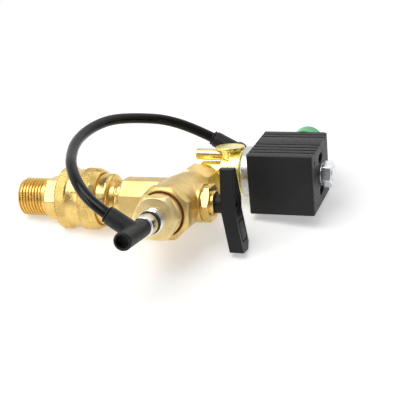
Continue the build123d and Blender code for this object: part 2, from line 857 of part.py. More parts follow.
def front_collet():
    return collet(front_swivel())


def rear_collet():
    return collet(rear_swivel())


def rear_stud():
    leg = rear_leg()
    start = rear_boss_face - rear_stud_thread_length
    ring_end = rear_boss_face + rear_stud_ring_length
    tip_end = rear_foot + stud_tip_length
    stud = rod(leg, start, rear_boss_face, rear_stud_thread_radius)
    stud += prism(leg, rear_boss_face, ring_end, rear_stud_flats, 6, 0, rear_stud_chamfer)
    stud += rod(leg, ring_end, tip_end, stud_tip_radius)
    return stud - rod(leg, start, tip_end, stud_bore_radius)


def on_axis(swivel, distance):
    """A point on an elbow's socket axis."""
    return swivel.origin + swivel.z_dir * distance


def hose_route():
    front = front_swivel()
    rear = rear_swivel()
    return [
        on_axis(front, hose_stop),
        on_axis(front, front_hose_lead),
        Vector(61.0, -56.5, 20.5),
        Vector(51.5, -44.0, 27.5),
        Vector(45.5, -30.5, 30.5),
        Vector(41.5, -18.0, 33.5),
        Vector(39.5, -4.5, 36.0),
        Vector(40.5, 9.5, 38.5),
        Vector(45.0, 24.0, 40.0),
        Vector(54.0, 38.5, 38.5),
        Vector(67.5, 54.0, 35.0),
        on_axis(rear, rear_hose_lead),
        on_axis(rear, hose_stop),
    ]


def hose_radii(points):
    """Each bend's radius: the largest arc that its two runs leave room for."""
    radii = []
    for before, corner, after in zip(points, points[1:], points[2:]):
        run_in = corner - before
        run_out = after - corner
        half_turn = math.radians(run_in.get_angle(run_out)) / 2
        radii.append(hose_arc_share * min(run_in.length, run_out.length) / math.tan(half_turn))
    return radii


def flush_hose():
    points = hose_route()
    radii = hose_radii(points)
    path = FilletPolyline(*points, radius=radii)
    section = Plane(origin=points[0], z_dir=points[1] - points[0]) * Circle(hose_radius)
    tube = sweep(section, path)
    print("hose radii", [round(radius, 1) for radius in radii])
    print("hose length", round(path.length, 1))
    ideal = path.length * math.pi * hose_radius**2
    print("hose volume over section times length", round(tube.volume / ideal, 4))
    return tube


# ---------------------------------------------------------------- outlet adaptor and solenoid body
def outlet_adaptor():
    leg = along_y(0)
    start = seat_reach + face_clearance
    thread_start = adaptor_thread_start + face_clearance
    adaptor = rod(leg, thread_start, leg_rear, adaptor_thread_radius)
    adaptor += rod(leg, start, thread_start, cavity_radius - fitted_clearance)
    hex_start = leg_rear + seal_thickness
    adaptor += prism(
        leg,
        hex_start,
        adaptor_face,
        adaptor_hex_flats,
        6,
        adaptor_hex_lean,
        adaptor_hex_chamfer,
    )
    adaptor += rod(leg, leg_rear, hex_start, adaptor_thread_radius - adaptor_neck_step)
    adaptor += rod(leg, adaptor_face, adaptor_face + adaptor_nose_length, adaptor_nose_radius)
    return adaptor - rod(leg, start, adaptor_face + adaptor_nose_length, adaptor_bore_radius)


def adaptor_seal():
    inner = adaptor_thread_radius - adaptor_neck_step + fitted_clearance
    outer = leg_radius - adaptor_seal_setback
    return pipe(along_y(0), leg_rear, leg_rear + seal_thickness, outer, inner)


def solenoid_axis():
    return along_x(0, solenoid_y, solenoid_z)


def tower_place():
    return Plane(origin=(tower_x, solenoid_y, 0), z_dir=(0, 0, 1))


def solenoid_body():
    leg = along_y(0)
    axis = solenoid_axis()
    port_end = adaptor_face + port_length
    body = rod(leg, adaptor_face, port_end, port_radius)
    body += rod(axis, chamber_floor - 0.5, flange_start + 0.5, housing_radius)
    flange = rod(axis, flange_start, flange_end, flange_radius)
    body += fillet(flange.edges().filter_by(GeomType.CIRCLE).sort_by(Axis.X)[0], 1.2)
    tower = rod(tower_place(), solenoid_z - housing_radius, tower_top, tower_radius)
    body += rod(axis, tower_x, chamber_floor, tower_radius - 0.6)
    body += fillet(tower.edges().filter_by(GeomType.CIRCLE).sort_by(Axis.Z)[-1], tower_round)
    body += rod(rear_leg(), solenoid_y, rear_boss_face, rear_boss_radius)
    nose_room = adaptor_nose_radius + fitted_clearance
    body -= rod(leg, adaptor_face, adaptor_face + adaptor_nose_length + 0.5, nose_room)
    body -= rod(axis, chamber_floor, flange_end, chamber_radius)
    body += pipe(axis, chamber_floor - 1.0, nozzle_face, nozzle_radius, nozzle_bore_radius)
    body -= solenoid_drillings()
    return body


def solenoid_drillings():
    """Inlet drilling to the chamber, outlet up to the spigot, and the flush hose's drilling."""
    axis = solenoid_axis()
    spigot_end = tower_x - spigot_stop
    outlet = rod(axis, tower_x - 0.5, nozzle_face, nozzle_bore_radius)
    riser = rod(tower_place(), solenoid_z, spigot_z + riser_radius, riser_radius)
    socket_axis = along_x(0, solenoid_y, spigot_z)
    seat_radius = spigot_radius - spigot_step + fitted_clearance
    socket = rod(socket_axis, tower_x - tower_radius - 1.0, spigot_end, seat_radius)
    socket += rod(socket_axis, spigot_end - 0.5, tower_x, riser_radius - 0.3)
    feed_start = Vector(leg_x + 4.0, adaptor_face + 5.0, 0)
    feed_end = Vector(chamber_floor + 0.5, solenoid_y - 5.2, solenoid_z - 3.8)
    feed = drilling(feed_start, feed_end, pilot_radius)
    stud_floor = rear_boss_face - rear_stud_thread_length - 0.2
    stud_hole = rod(rear_leg(), stud_floor, rear_boss_face, rear_stud_thread_radius + fitted_clearance)
    flush_start = Vector(rear_boss_x, stud_floor + 1.0, rear_boss_z)
    flush_end = Vector(chamber_floor + 2.0, solenoid_y + 2.0, solenoid_z + 6.0)
    flush = drilling(flush_start, flush_end, flush_drill_radius)
    return outlet + riser + socket + feed + stud_hole + flush


def drilling(start, end, radius):
    """A drilled hole between two points."""
    run = end - start
    return rod(Plane(origin=start, z_dir=run), 0, run.length, radius)


def drain_spigot():
    socket_axis = along_x(0, solenoid_y, spigot_z)
    end = tower_x - spigot_stop - face_clearance
    start = end - spigot_length
    shoulder = tower_x - tower_radius - 2 * face_clearance
    tube = rod(socket_axis, start, shoulder, spigot_radius)
    tube = chamfer(tube.edges().filter_by(GeomType.CIRCLE).sort_by(Axis.X)[0], spigot_chamfer)
    tube += rod(socket_axis, shoulder, end, spigot_radius - spigot_step)
    return tube - rod(socket_axis, start, end, spigot_bore_radius)


def flange_seal():
    section = 0.6
    middle = flange_end - section - 0.3
    mean_radius = chamber_radius - section - fitted_clearance
    return ring_seal(solenoid_axis(), middle, mean_radius, section)


# ---------------------------------------------------------------- armature
def armature_tube():
    axis = solenoid_axis()
    disc = rod(axis, flange_end, coil_start, tube_flange_radius)
    tube = rod(axis, coil_start, coil_start + tube_length, tube_radius)
    return disc + tube - rod(axis, flange_end, coil_start + tube_length, tube_bore_radius)


def fixed_core():
    axis = solenoid_axis()
    tube_end = coil_start + tube_length
    stud_start = coil_end - core_stud_root
    core = rod(axis, core_start, tube_end, tube_bore_radius - fitted_clearance)
    core += rod(axis, tube_end, stud_start, tube_radius)
    stud = rod(axis, stud_start, coil_end + core_stud_length, core_stud_radius)
    return core + chamfer(stud.edges().filter_by(GeomType.CIRCLE).sort_by(Axis.X)[-1], core_stud_chamfer)


def plunger():
    axis = solenoid_axis()
    nose_start = nozzle_face + disc_thickness + disc_play
    nose_end = nose_start + plunger_nose_length
    slug_end = core_start - plunger_stroke - face_clearance
    slug = rod(axis, nose_end, slug_end, plunger_radius)
    nose = rod(axis, nose_start, nose_end, plunger_nose_radius)
    spring_floor = core_start - return_spring_length
    hole = rod(axis, spring_floor, slug_end, return_spring_radius + 2 * return_wire_radius)
    return slug + nose - hole


def seat_disc():
    start = nozzle_face + disc_play
    return rod(solenoid_axis(), start, start + disc_thickness, disc_radius)


def plunger_spring():
    start = core_start - return_spring_length + face_clearance
    end = core_start - face_clearance
    return spring(
        solenoid_axis(),
        start,
        end,
        return_spring_radius,
        return_wire_radius,
        return_spring_turns,
    )


# ---------------------------------------------------------------- coil
def coil_block(x_start, x_end, y_start, y_end, z_half):
    """A box in the coil's frame."""
    middle = ((x_start + x_end) / 2, (y_start + y_end) / 2, 0)
    return coil_place() * Pos(*middle) * Box(x_end - x_start, y_end - y_start, 2 * z_half)


def rib_grooves():
    """Distances from the coil's front face to its six ribbing grooves."""
    front_group = [front_rib_start + front_rib_pitch * index for index in range(front_rib_count)]
    rear_group = [rear_rib_start + rear_rib_pitch * index for index in range(rear_rib_count)]
    return front_group + rear_group


def coil_housing():
    half_depth = coil_depth / 2
    half_height = coil_height / 2
    block = Pos(coil_length / 2, 0, 0) * Box(coil_length, coil_depth, coil_height)
    upright = block.edges().filter_by(Axis.Z)
    rear_right = upright.sort_by(Axis.Y)[-2:].sort_by(Axis.X)[-1]
    block = fillet(rear_right, coil_rear_round)
    others = block.edges().filter_by(Axis.Z)
    block = fillet([e for e in others if abs(e.center().Y + half_depth) < 0.1], coil_round)
    for distance in rib_grooves():
        for side in (-1, 1):
            place = Pos(coil_length / 2, distance - half_depth, side * half_height)
            block -= place * Box(coil_length + 2, rib_groove_width, 2 * rib_groove_depth)
    block += coil_hub()
    slit = Pos(coil_length, slit_length - half_depth, half_height - slit_drop)
    block -= slit * Box(2 * slit_depth, slit_width, slit_length)
    for side in (-1, 1):
        hole = Cylinder(port_hole_radius, 4 * coil_end_wall, rotation=(0, 90, 0))
        block -= Pos(coil_length, 0, side * port_hole_offset) * hole
    bore = Cylinder(tube_radius + coil_bore_gap, coil_length + 2 * cut_overrun, rotation=(0, 90, 0))
    block -= Pos(coil_length / 2, 0, 0) * bore
    housing = coil_place() * block
    room = face_clearance
    yoke_half = yoke_half_height + room
    return housing - coil_block(
        coil_end_wall,
        coil_length - coil_end_wall,
        -yoke_half_height - room,
        yoke_back + room,
        yoke_half,
    )


def hub_axis():
    """The place of the terminal hub in the coil's frame, local Z to the rear."""
    return Plane(origin=(hub_along, coil_depth / 2, hub_up), x_dir=(1, 0, 0), z_dir=(0, 1, 0))


def coil_hub():
    """The round terminal hub on the coil's rear face."""
    hub = rod(hub_axis(), -1.0, hub_length, hub_radius)
    return hub - rod(hub_axis(), 1.0, hub_length, hub_radius - hub_wall)


def coil_frame():
    """The iron yoke: two end plates joined by a back plate."""
    start = coil_end_wall + face_clearance
    end = coil_length - coil_end_wall - face_clearance
    frame = coil_block(start, end, -yoke_half_height, yoke_back, yoke_half_height)
    inner_end = end - yoke_thickness
    window_back = yoke_back - yoke_thickness
    window = coil_block(start + yoke_thickness, inner_end, -coil_depth, window_back, coil_height)
    return frame - window - rod(solenoid_axis(), coil_start, coil_end, tube_radius + face_clearance)


def coil_winding():
    gap = coil_end_wall + yoke_thickness + 2 * face_clearance
    bore_radius = tube_radius + face_clearance
    return pipe(solenoid_axis(), coil_start + gap, coil_end - gap, bobbin_radius, bore_radius)


def coil_washer():
    end = coil_end + washer_thickness
    return pipe(solenoid_axis(), coil_end, end, washer_radius, core_stud_radius + fitted_clearance)


def coil_nut():
    start = coil_end + washer_thickness
    nut = prism(solenoid_axis(), start, start + nut_height, nut_flats, 6, nut_turn - coil_roll, nut_chamfer)
    return nut - rod(solenoid_axis(), start, start + nut_height, core_stud_radius + fitted_clearance)


def terminals():
    """Three flat blades that stand in the hub."""
    blades = []
    for index in (-1, 0, 1):
        place = hub_axis() * Pos(0, index * terminal_spacing, 1.0 + terminal_length / 2)
        blade = Box(terminal_width, terminal_thickness, terminal_length)
        blades.append(coil_place() * place * blade)
    return Compound(blades)


def terminal_cap():
    """The round protective cap over the hub."""
    axis = hub_axis()
    inner = hub_radius + fitted_clearance
    outer = inner + cap_wall
    end = hub_length + face_clearance + cap_wall
    dome = rod(axis, face_clearance, end, outer)
    dome = fillet(dome.edges().filter_by(GeomType.CIRCLE).sort_by(Axis.Y)[-1], 0.6)
    cap = dome + rod(axis, face_clearance, face_clearance + cap_rim_length, outer + cap_rim_height)
    cap -= rod(axis, face_clearance, hub_length + face_clearance, inner)
    return coil_place() * cap


# ---------------------------------------------------------------- write every piece
PIECES = [
    inlet_nipple,
    coupler_body,
    coupler_balls,
    coupler_seal,
    sleeve_clip,
    coupler_sleeve,
    coupler_spring,
    valve_body,
    ball,
    front_seat,
    rear_seat,
    stem,
    stem_packing,
    gland_nut,
    handle,
    handle_screw,
    strainer_screen,
    strainer_cap,
    cap_gasket,
    cap_stud,
    stud_seal,
    front_elbow,
    front_collet,
    flush_hose,
    rear_collet,
    rear_elbow,
    rear_stud,
    outlet_adaptor,
    adaptor_seal,
    solenoid_body,
    drain_spigot,
    flange_seal,
    armature_tube,
    fixed_core,
    plunger,
    seat_disc,
    plunger_spring,
    coil_housing,
    coil_frame,
    coil_winding,
    coil_washer,
    coil_nut,
    terminals,
    terminal_cap,
]

os.makedirs("parts", exist_ok=True)
for piece in PIECES:
    export_step(one(piece()), f"parts/{piece.__name__}.step")
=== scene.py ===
"""Finish, hose and studio for the automatic condensate drain valve.

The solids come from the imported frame.  Turned pieces are rebuilt here as lathe work with real threads,
knurls and rounded corners, forged and moulded pieces get their soft corners, and every surface gets a
procedural finish.  Lengths are millimetres, which MM turns into the scene's metres.  The camera, the hose
and the studio are written in metres.
"""
import math

import bmesh
import bpy
import numpy as np
from mathutils import Matrix, Quaternion, Vector


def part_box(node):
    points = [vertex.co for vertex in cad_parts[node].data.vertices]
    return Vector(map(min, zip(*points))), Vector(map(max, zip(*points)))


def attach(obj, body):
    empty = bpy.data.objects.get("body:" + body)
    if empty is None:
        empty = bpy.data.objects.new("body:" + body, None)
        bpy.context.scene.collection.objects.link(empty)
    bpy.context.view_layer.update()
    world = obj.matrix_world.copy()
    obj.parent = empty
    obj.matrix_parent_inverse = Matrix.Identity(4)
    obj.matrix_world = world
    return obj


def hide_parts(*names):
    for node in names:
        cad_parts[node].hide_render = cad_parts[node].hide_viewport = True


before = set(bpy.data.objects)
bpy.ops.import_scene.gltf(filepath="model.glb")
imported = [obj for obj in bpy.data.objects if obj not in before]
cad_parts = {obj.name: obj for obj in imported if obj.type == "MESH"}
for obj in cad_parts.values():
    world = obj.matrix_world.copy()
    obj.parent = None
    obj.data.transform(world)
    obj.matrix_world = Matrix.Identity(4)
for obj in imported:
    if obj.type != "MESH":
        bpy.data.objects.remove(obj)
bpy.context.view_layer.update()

MM = 0.001


# ---------------------------------------------------------------- objects
def linked(name, data):
    """A new object in the scene."""
    obj = bpy.data.objects.new(name, data)
    bpy.context.scene.collection.objects.link(obj)
    return obj


def mesh_object(name, shape):
    """A new object from a bmesh, which is freed."""
    data = bpy.data.meshes.new(name)
    shape.to_mesh(data)
    shape.free()
    return linked(name, data)


def discard(obj):
    """Takes a mesh object and its mesh away."""
    data = obj.data
    bpy.data.objects.remove(obj)
    bpy.data.meshes.remove(data)


# ---------------------------------------------------------------- camera
CAMERA_PLACE = Vector((0.2808, -0.4992, 0.1302))
CAMERA_AIM = Vector((-0.32495, 0.91575, -0.23622))
CAMERA_ROLL = math.radians(2.6)
CAMERA_LENS = 92.66
CAMERA_SENSOR = 36.0


def make_camera():
    data = bpy.data.cameras.new("camera")
    data.lens = CAMERA_LENS
    data.sensor_width = CAMERA_SENSOR
    data.clip_start = 0.01
    data.clip_end = 20.0
    camera = linked("camera", data)
    camera.location = CAMERA_PLACE
    camera.rotation_mode = "QUATERNION"
    level = CAMERA_AIM.to_track_quat("-Z", "Y")
    camera.rotation_quaternion = Quaternion(CAMERA_AIM, CAMERA_ROLL) @ level
    bpy.context.scene.camera = camera


# ---------------------------------------------------------------- node materials
class Nodes:
    """Short ways to add nodes to a tree."""

    def __init__(self, tree):
        self.tree = tree

    def node(self, kind, **settings):
        made = self.tree.nodes.new(kind)
        for key, value in settings.items():
            setattr(made, key, value)
        return made

    def feed(self, socket, value):
        if isinstance(value, bpy.types.NodeSocket):
            self.tree.links.new(value, socket)
        else:
            socket.default_value = value

    def math(self, operation, first, second=0.0, clamp=False):
        made = self.node("ShaderNodeMath", operation=operation, use_clamp=clamp)
        self.feed(made.inputs[0], first)
        self.feed(made.inputs[1], second)
        return made.outputs[0]


class Finish(Nodes):
    """A procedural material being put together on one Principled shader."""

    def __init__(self, name, roughness=0.4, metallic=0.0, **sockets):
        self.material = bpy.data.materials.new(name)
        self.material.use_nodes = True
        super().__init__(self.material.node_tree)
        self.shader = self.tree.nodes["Principled BSDF"]
        self.shader.inputs["Roughness"].default_value = roughness
        self.shader.inputs["Metallic"].default_value = metallic
        for socket, value in sockets.items():
            self.shader.inputs[socket.replace("_", " ")].default_value = value
        self.place = self.node("ShaderNodeTexCoord").outputs["Object"]

    def noise(self, grain, detail=2.0, roughness=0.5, vector=None, stretch=None):
        """Noise whose features are about `grain` millimetres across."""
        texture = self.node("ShaderNodeTexNoise")
        texture.inputs["Scale"].default_value = 1.0 / (grain * MM)
        texture.inputs["Detail"].default_value = detail
        texture.inputs["Roughness"].default_value = roughness
        vector = self.place if vector is None else vector
        if stretch is not None:
            mapping = self.node("ShaderNodeMapping")
            self.feed(mapping.inputs["Vector"], vector)
            mapping.inputs["Scale"].default_value = stretch
            vector = mapping.outputs["Vector"]
        self.feed(texture.inputs["Vector"], vector)
        return texture.outputs["Fac"]

    def attribute(self, name):
        return self.node("ShaderNodeAttribute", attribute_name=name).outputs["Fac"]

    def span(self, value, low, high, start=0.0, end=1.0):
        """Maps low..high to start..end, with no overshoot."""
        ranged = self.node("ShaderNodeMapRange", clamp=True)
        self.feed(ranged.inputs["Value"], value)
        for socket, number in zip(("From Min", "From Max", "To Min", "To Max"), (low, high, start, end)):
            ranged.inputs[socket].default_value = number
        return ranged.outputs["Result"]

    def mix(self, factor, first, second):
        """A blend of two colours."""
        made = self.node("ShaderNodeMix", data_type="RGBA")
        self.feed(made.inputs["Factor"], factor)
        for socket, colour in (("A", first), ("B", second)):
            plain = not isinstance(colour, bpy.types.NodeSocket)
            self.feed(made.inputs[socket], (*colour, 1.0) if plain else colour)
        return made.outputs["Result"]

    def clouded(self, clouds, first, second, low=0.3, high=0.7):
        """Two colours that drift into each other with the noise `clouds`."""
        return self.mix(self.span(clouds, low, high), first, second)

    def colour(self, value):
        self.feed(self.shader.inputs["Base Color"], value)

    def rough(self, clouds, smoothest, roughest, low=0.3, high=0.7):
        """Roughness that drifts between two values with the noise `clouds`."""
        roughness = self.span(clouds, low, high, smoothest, roughest)
        self.feed(self.shader.inputs["Roughness"], roughness)

    def tool_lines(self, pitch):
        """Fine lines round a turned piece, from its distance along the outline."""
        combined = self.node("ShaderNodeCombineXYZ")
        self.feed(combined.inputs["X"], self.attribute("tool_line"))
        return self.noise(pitch, 1.0, vector=combined.outputs["Vector"])

    def bump(self, *layers):
        """Adds (height, depth in millimetres) layers of relief."""
        normal = None
        for height, depth in layers:
            made = self.node("ShaderNodeBump")
            made.inputs["Strength"].default_value = 1.0
            made.inputs["Distance"].default_value = depth * MM
            self.feed(made.inputs["Height"], height)
            if normal is not None:
                self.feed(made.inputs["Normal"], normal)
            normal = made.outputs["Normal"]
        self.feed(self.shader.inputs["Normal"], normal)


def turned_brass():
    """Brass off the lathe: fine tool lines along the outline, faint stains and small dark pits."""
    finish = Finish("turned_brass", roughness=0.24, metallic=1.0)
    stain = finish.noise(5.0, 4.0, 0.6)
    pits = finish.noise(0.9, 2.0, 0.7)
    base = finish.clouded(stain, (0.84, 0.61, 0.23), (0.72, 0.49, 0.15), 0.35)
    finish.colour(finish.clouded(pits, base, (0.34, 0.20, 0.06), 0.76, 0.86))
    finish.rough(finish.noise(1.6, 3.0), 0.16, 0.34, high=0.75)
    finish.bump((finish.tool_lines(0.16), 0.010), (finish.noise(1.1, 2.0), 0.012))
    return finish.material


def satin_brass():
    """Machined brass with a dull even sheen, a little paler than the forgings."""
    finish = Finish("satin_brass", roughness=0.42, metallic=1.0)
    stain = finish.noise(6.0, 4.0, 0.6)
    finish.colour(finish.clouded(stain, (0.95, 0.77, 0.40), (0.84, 0.63, 0.28), 0.35))
    finish.rough(finish.noise(1.4, 3.0), 0.36, 0.50, high=0.75)
    finish.bump((finish.tool_lines(0.2), 0.006), (finish.noise(1.8, 2.0), 0.012))
    return finish.material


def bright_brass():
    """Freshly parted brass: pale, with tool lines round it."""
    finish = Finish("bright_brass", roughness=0.22, metallic=1.0)
    stain = finish.noise(2.5, 3.0, 0.6)
    finish.colour(finish.clouded(stain, (0.90, 0.74, 0.34), (0.82, 0.62, 0.24), 0.35))
    finish.rough(finish.noise(1.2, 3.0), 0.14, 0.30, high=0.75)
    finish.bump((finish.tool_lines(0.16), 0.008))
    return finish.material


def forged_brass():
    """Tumbled forging skin: duller, slightly pink, with a soft uneven surface."""
    finish = Finish("forged_brass", roughness=0.38, metallic=1.0)
    stain = finish.noise(7.0, 5.0, 0.6)
    fine = finish.noise(0.8, 3.0, 0.6)
    base = finish.clouded(stain, (0.80, 0.60, 0.25), (0.68, 0.47, 0.16), 0.35)
    finish.colour(finish.clouded(fine, base, (0.42, 0.27, 0.09), 0.66, 0.76))
    finish.rough(stain, 0.30, 0.46)
    finish.bump((finish.noise(3.5, 2.0), 0.10), (finish.noise(0.5, 2.0), 0.012))
    return finish.material


def cast_brass():
    """The solenoid body's brighter, smoother skin."""
    finish = Finish("cast_brass", roughness=0.28, metallic=1.0)
    stain = finish.noise(6.0, 4.0, 0.6)
    finish.colour(finish.clouded(stain, (0.95, 0.86, 0.32), (0.88, 0.74, 0.25), 0.35))
    finish.rough(finish.noise(2.0, 3.0), 0.20, 0.36)
    finish.bump((finish.noise(2.6, 2.0), 0.05), (finish.noise(0.5, 2.0), 0.008))
    return finish.material


def plated(name, light, dark, smoothest, roughest):
    """Bright plated metal with tool lines and a slightly uneven shine."""
    finish = Finish(name, roughness=smoothest, metallic=1.0)
    finish.colour(finish.clouded(finish.noise(2.5, 3.0), light, dark))
    finish.rough(finish.noise(1.2, 3.0), smoothest, roughest)
    lines = finish.noise(0.25, 1.0, stretch=(1.0, 0.1, 0.1))
    finish.bump((lines, 0.006), (finish.noise(1.5, 2.0), 0.010))
    return finish.material


PLASTIC_GLOSS = 0.36
SPECK_GAIN = 2.2                # how much lighter the grain's specks are


def plastic(name, light, dark, smoothest, roughest, grain, depth):
    """Moulded plastic with a fine sparked grain."""
    finish = Finish(name, roughness=smoothest, Specular_IOR_Level=PLASTIC_GLOSS)
    base = finish.clouded(finish.noise(6.0, 4.0, 0.6), dark, light)
    speck = finish.span(finish.noise(0.35, 2.0, 0.6), 0.66, 0.78, 0.0, 0.5)
    finish.colour(finish.mix(speck, base, tuple(SPECK_GAIN * part for part in light)))
    finish.rough(finish.noise(1.5, 3.0), smoothest, roughest)
    finish.bump((finish.noise(grain, 2.0), depth), (finish.noise(5.0, 2.0), 0.03))
    return finish.material


def hose_plastic():
    """Extruded black tube: smooth, with a faint unevenness along it."""
    finish = Finish("hose_plastic", roughness=0.10, Specular_IOR_Level=0.2)
    cloud = finish.noise(4.0, 4.0, 0.6)
    finish.colour(finish.clouded(cloud, (0.004, 0.004, 0.005), (0.008, 0.008, 0.009)))
    finish.rough(finish.noise(2.5, 3.0), 0.07, 0.15)
    finish.bump((finish.noise(1.6, 2.0), 0.006))
    return finish.material


def clear_green():
    """Thin translucent green moulding."""
    finish = Finish("clear_green", roughness=0.22, Transmission_Weight=0.35, IOR=1.49)
    finish.colour(finish.clouded(finish.noise(4.0, 3.0), (0.012, 0.64, 0.17), (0.02, 0.74, 0.24)))
    finish.rough(finish.noise(1.2, 3.0), 0.16, 0.30)
    finish.bump((finish.noise(2.0, 2.0), 0.02))
    return finish.material


def plain_metal(name, light, dark, smoothest, roughest):
    """Metal inside the object, with a drawn grain."""
    finish = Finish(name, roughness=smoothest, metallic=1.0)
    finish.colour(finish.clouded(finish.noise(1.5, 3.0), light, dark))
    finish.rough(finish.noise(0.8, 2.0), smoothest, roughest)
    finish.bump((finish.noise(0.4, 2.0), 0.008))
    return finish.material


def soft_solid(name, light, dark, smoothest, roughest):
    """Rubber, fibre or PTFE."""
    finish = Finish(name, roughness=smoothest)
    finish.colour(finish.clouded(finish.noise(0.8, 4.0, 0.7), light, dark))
    finish.rough(finish.noise(1.0, 2.0), smoothest, roughest)
    finish.bump((finish.noise(0.3, 2.0), 0.012))
    return finish.material


# For each finish, the record's slot and the material that shows it.
FINISHES = {
    "turned": ("brass_turned", turned_brass()),
    "forged": ("brass_forged", forged_brass()),
    "cast": ("brass_forged", cast_brass()),
    "nickel": ("nickel", plated("nickel", (0.86, 0.85, 0.82), (0.74, 0.72, 0.68), 0.12, 0.24)),
    "zinc": ("zinc_steel", plated("zinc", (0.80, 0.81, 0.82), (0.66, 0.67, 0.69), 0.14, 0.30)),
    "stainless": ("stainless", plated("stainless", (0.66, 0.66, 0.65), (0.54, 0.54, 0.53), 0.24, 0.38)),
    "spring": ("spring_steel", plain_metal("spring", (0.55, 0.56, 0.58), (0.42, 0.43, 0.45), 0.25, 0.4)),
    "iron": ("iron", plain_metal("iron", (0.50, 0.50, 0.50), (0.38, 0.38, 0.38), 0.35, 0.5)),
    "copper": ("copper", plain_metal("copper", (0.80, 0.36, 0.16), (0.66, 0.28, 0.12), 0.25, 0.4)),
    "nylon": (
        "black_nylon",
        plastic("nylon", (0.011, 0.011, 0.012), (0.006, 0.006, 0.007), 0.40, 0.54, 0.16, 0.008),
    ),
    "coil": (
        "coil_black",
        plastic("coil", (0.013, 0.013, 0.014), (0.008, 0.008, 0.009), 0.42, 0.58, 0.14, 0.010),
    ),
    "cap": ("brass_turned", satin_brass()),
    "spigot": ("brass_turned", bright_brass()),
    "hose": ("hose_black", hose_plastic()),
    "rubber": ("rubber", soft_solid("rubber", (0.016, 0.016, 0.017), (0.010, 0.010, 0.011), 0.5, 0.7)),
    "ptfe": ("ptfe", soft_solid("ptfe", (0.82, 0.82, 0.80), (0.72, 0.72, 0.70), 0.4, 0.6)),
    "fibre": ("fibre", soft_solid("fibre", (0.34, 0.10, 0.05), (0.24, 0.07, 0.035), 0.6, 0.8)),
    "green": ("green_clear", clear_green()),
}


def coat(obj, finish):
    """Gives an object the material of a finish."""
    slot, material = FINISHES[finish]
    obj.data.materials.clear()
    obj.data.materials.append(material)


# ---------------------------------------------------------------- places
def place(origin, along, across):
    """A frame in millimetres, with local Z along `along` and local X towards `across`."""
    z = Vector(along).normalized()
    x = Vector(across)
    x = (x - z * z.dot(x)).normalized()
    made = Matrix((x, z.cross(x), z)).transposed().to_4x4()
    made.translation = Vector(origin)
    return made


def along_x(y=0.0, z=0.0):
    return place((0, y, z), (1, 0, 0), (0, 1, 0))


def along_y(x, z=0.0):
    return place((x, 0, z), (0, 1, 0), (1, 0, 0))


def low(node):
    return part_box(node)[0] / MM


def high(node):
    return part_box(node)[1] / MM


def ends(node, axis):
    """Where a node starts and ends along an axis."""
    return getattr(low(node), axis), getattr(high(node), axis)


# ---------------------------------------------------------------- meshes
SHARP_ANGLE = math.radians(38)
DOUBLED = 1e-7                  # metres between points of a new mesh that are joined
SPLIT = 1e-6                    # metres between points of a CAD mesh that are joined
NEAR = 0.05                     # how far a point may be from a face and count as on it
ON_AXIS = 0.02                  # radius at which a turned piece without a bore is closed
OVERRUN = 1.0                   # how far a cutting shape runs past the face that it cuts


def add_mesh(name, points, faces, where):
    """A mesh object from points in millimetres in the frame `where`."""
    data = bpy.data.meshes.new(name)
    matrix = np.array(where)
    world = (points @ matrix[:3, :3].T + matrix[:3, 3]) * MM
    data.from_pydata(world.tolist(), [], faces)
    return linked(name, data)


def shade(obj):
    """Smooth shading that breaks at the sharp edges."""
    obj.data.shade_smooth()
    obj.data.set_sharp_from_angle(angle=SHARP_ANGLE)


def add_bevel(obj, width, angle):
    """Rounds the edges that turn by more than an angle in degrees."""
    bevel = obj.modifiers.new("bevel", "BEVEL")
    bevel.width = width * MM
    bevel.segments = 3
    bevel.limit_method = "ANGLE"
    bevel.angle_limit = math.radians(angle)
    bevel.use_clamp_overlap = True


def tidy_mesh(obj):
    """Joins doubled points, turns every face outwards and shades it."""
    shape = bmesh.new()
    shape.from_mesh(obj.data)
    bmesh.ops.remove_doubles(shape, verts=shape.verts, dist=DOUBLED)
    bmesh.ops.dissolve_degenerate(shape, dist=DOUBLED, edges=shape.edges)
    bmesh.ops.recalc_face_normals(shape, faces=shape.faces)
    shape.to_mesh(obj.data)
    shape.free()
    shade(obj)


def finish_piece(obj, finish, body, *nodes):
    """Gives a new piece its finish and its body, and hides the nodes that it stands for."""
    coat(obj, finish)
    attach(obj, body)
    if nodes:
        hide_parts(*nodes)
    return obj


def rounded(outline, radius, steps=3):
    """A closed outline of (distance, radius) points with each corner softened."""
    points = [Vector(point) for point in outline]
    made = []
    for index, corner in enumerate(points):
        before = points[index - 1] - corner
        after = points[(index + 1) % len(points)] - corner
        reach = min(radius, 0.4 * before.length, 0.4 * after.length)
        start = corner + before.normalized() * reach
        end = corner + after.normalized() * reach
        for step in range(steps + 1):
            share = step / steps
            made.append(start.lerp(corner, share).lerp(corner.lerp(end, share), share))
    return [tuple(point) for point in made]


def resampled(outline, low_x, high_x, step):
    """Adds points so that no stretch between two distances is longer than step."""
    made = []
    for index, start in enumerate(outline):
        end = outline[(index + 1) % len(outline)]
        made.append(start)
        inside = max(start[0], end[0]) > low_x - 0.01 and min(start[0], end[0]) < high_x + 0.01
        length = math.dist(start, end)
        count = math.ceil(length / step) if inside else 1
        for part in range(1, count):
            share = part / count
            made.append((start[0] + (end[0] - start[0]) * share, start[1] + (end[1] - start[1]) * share))
    return made


def wrap(angles, period):
    """Angles brought to within half a period of zero."""
    return (angles + period / 2) % period - period / 2


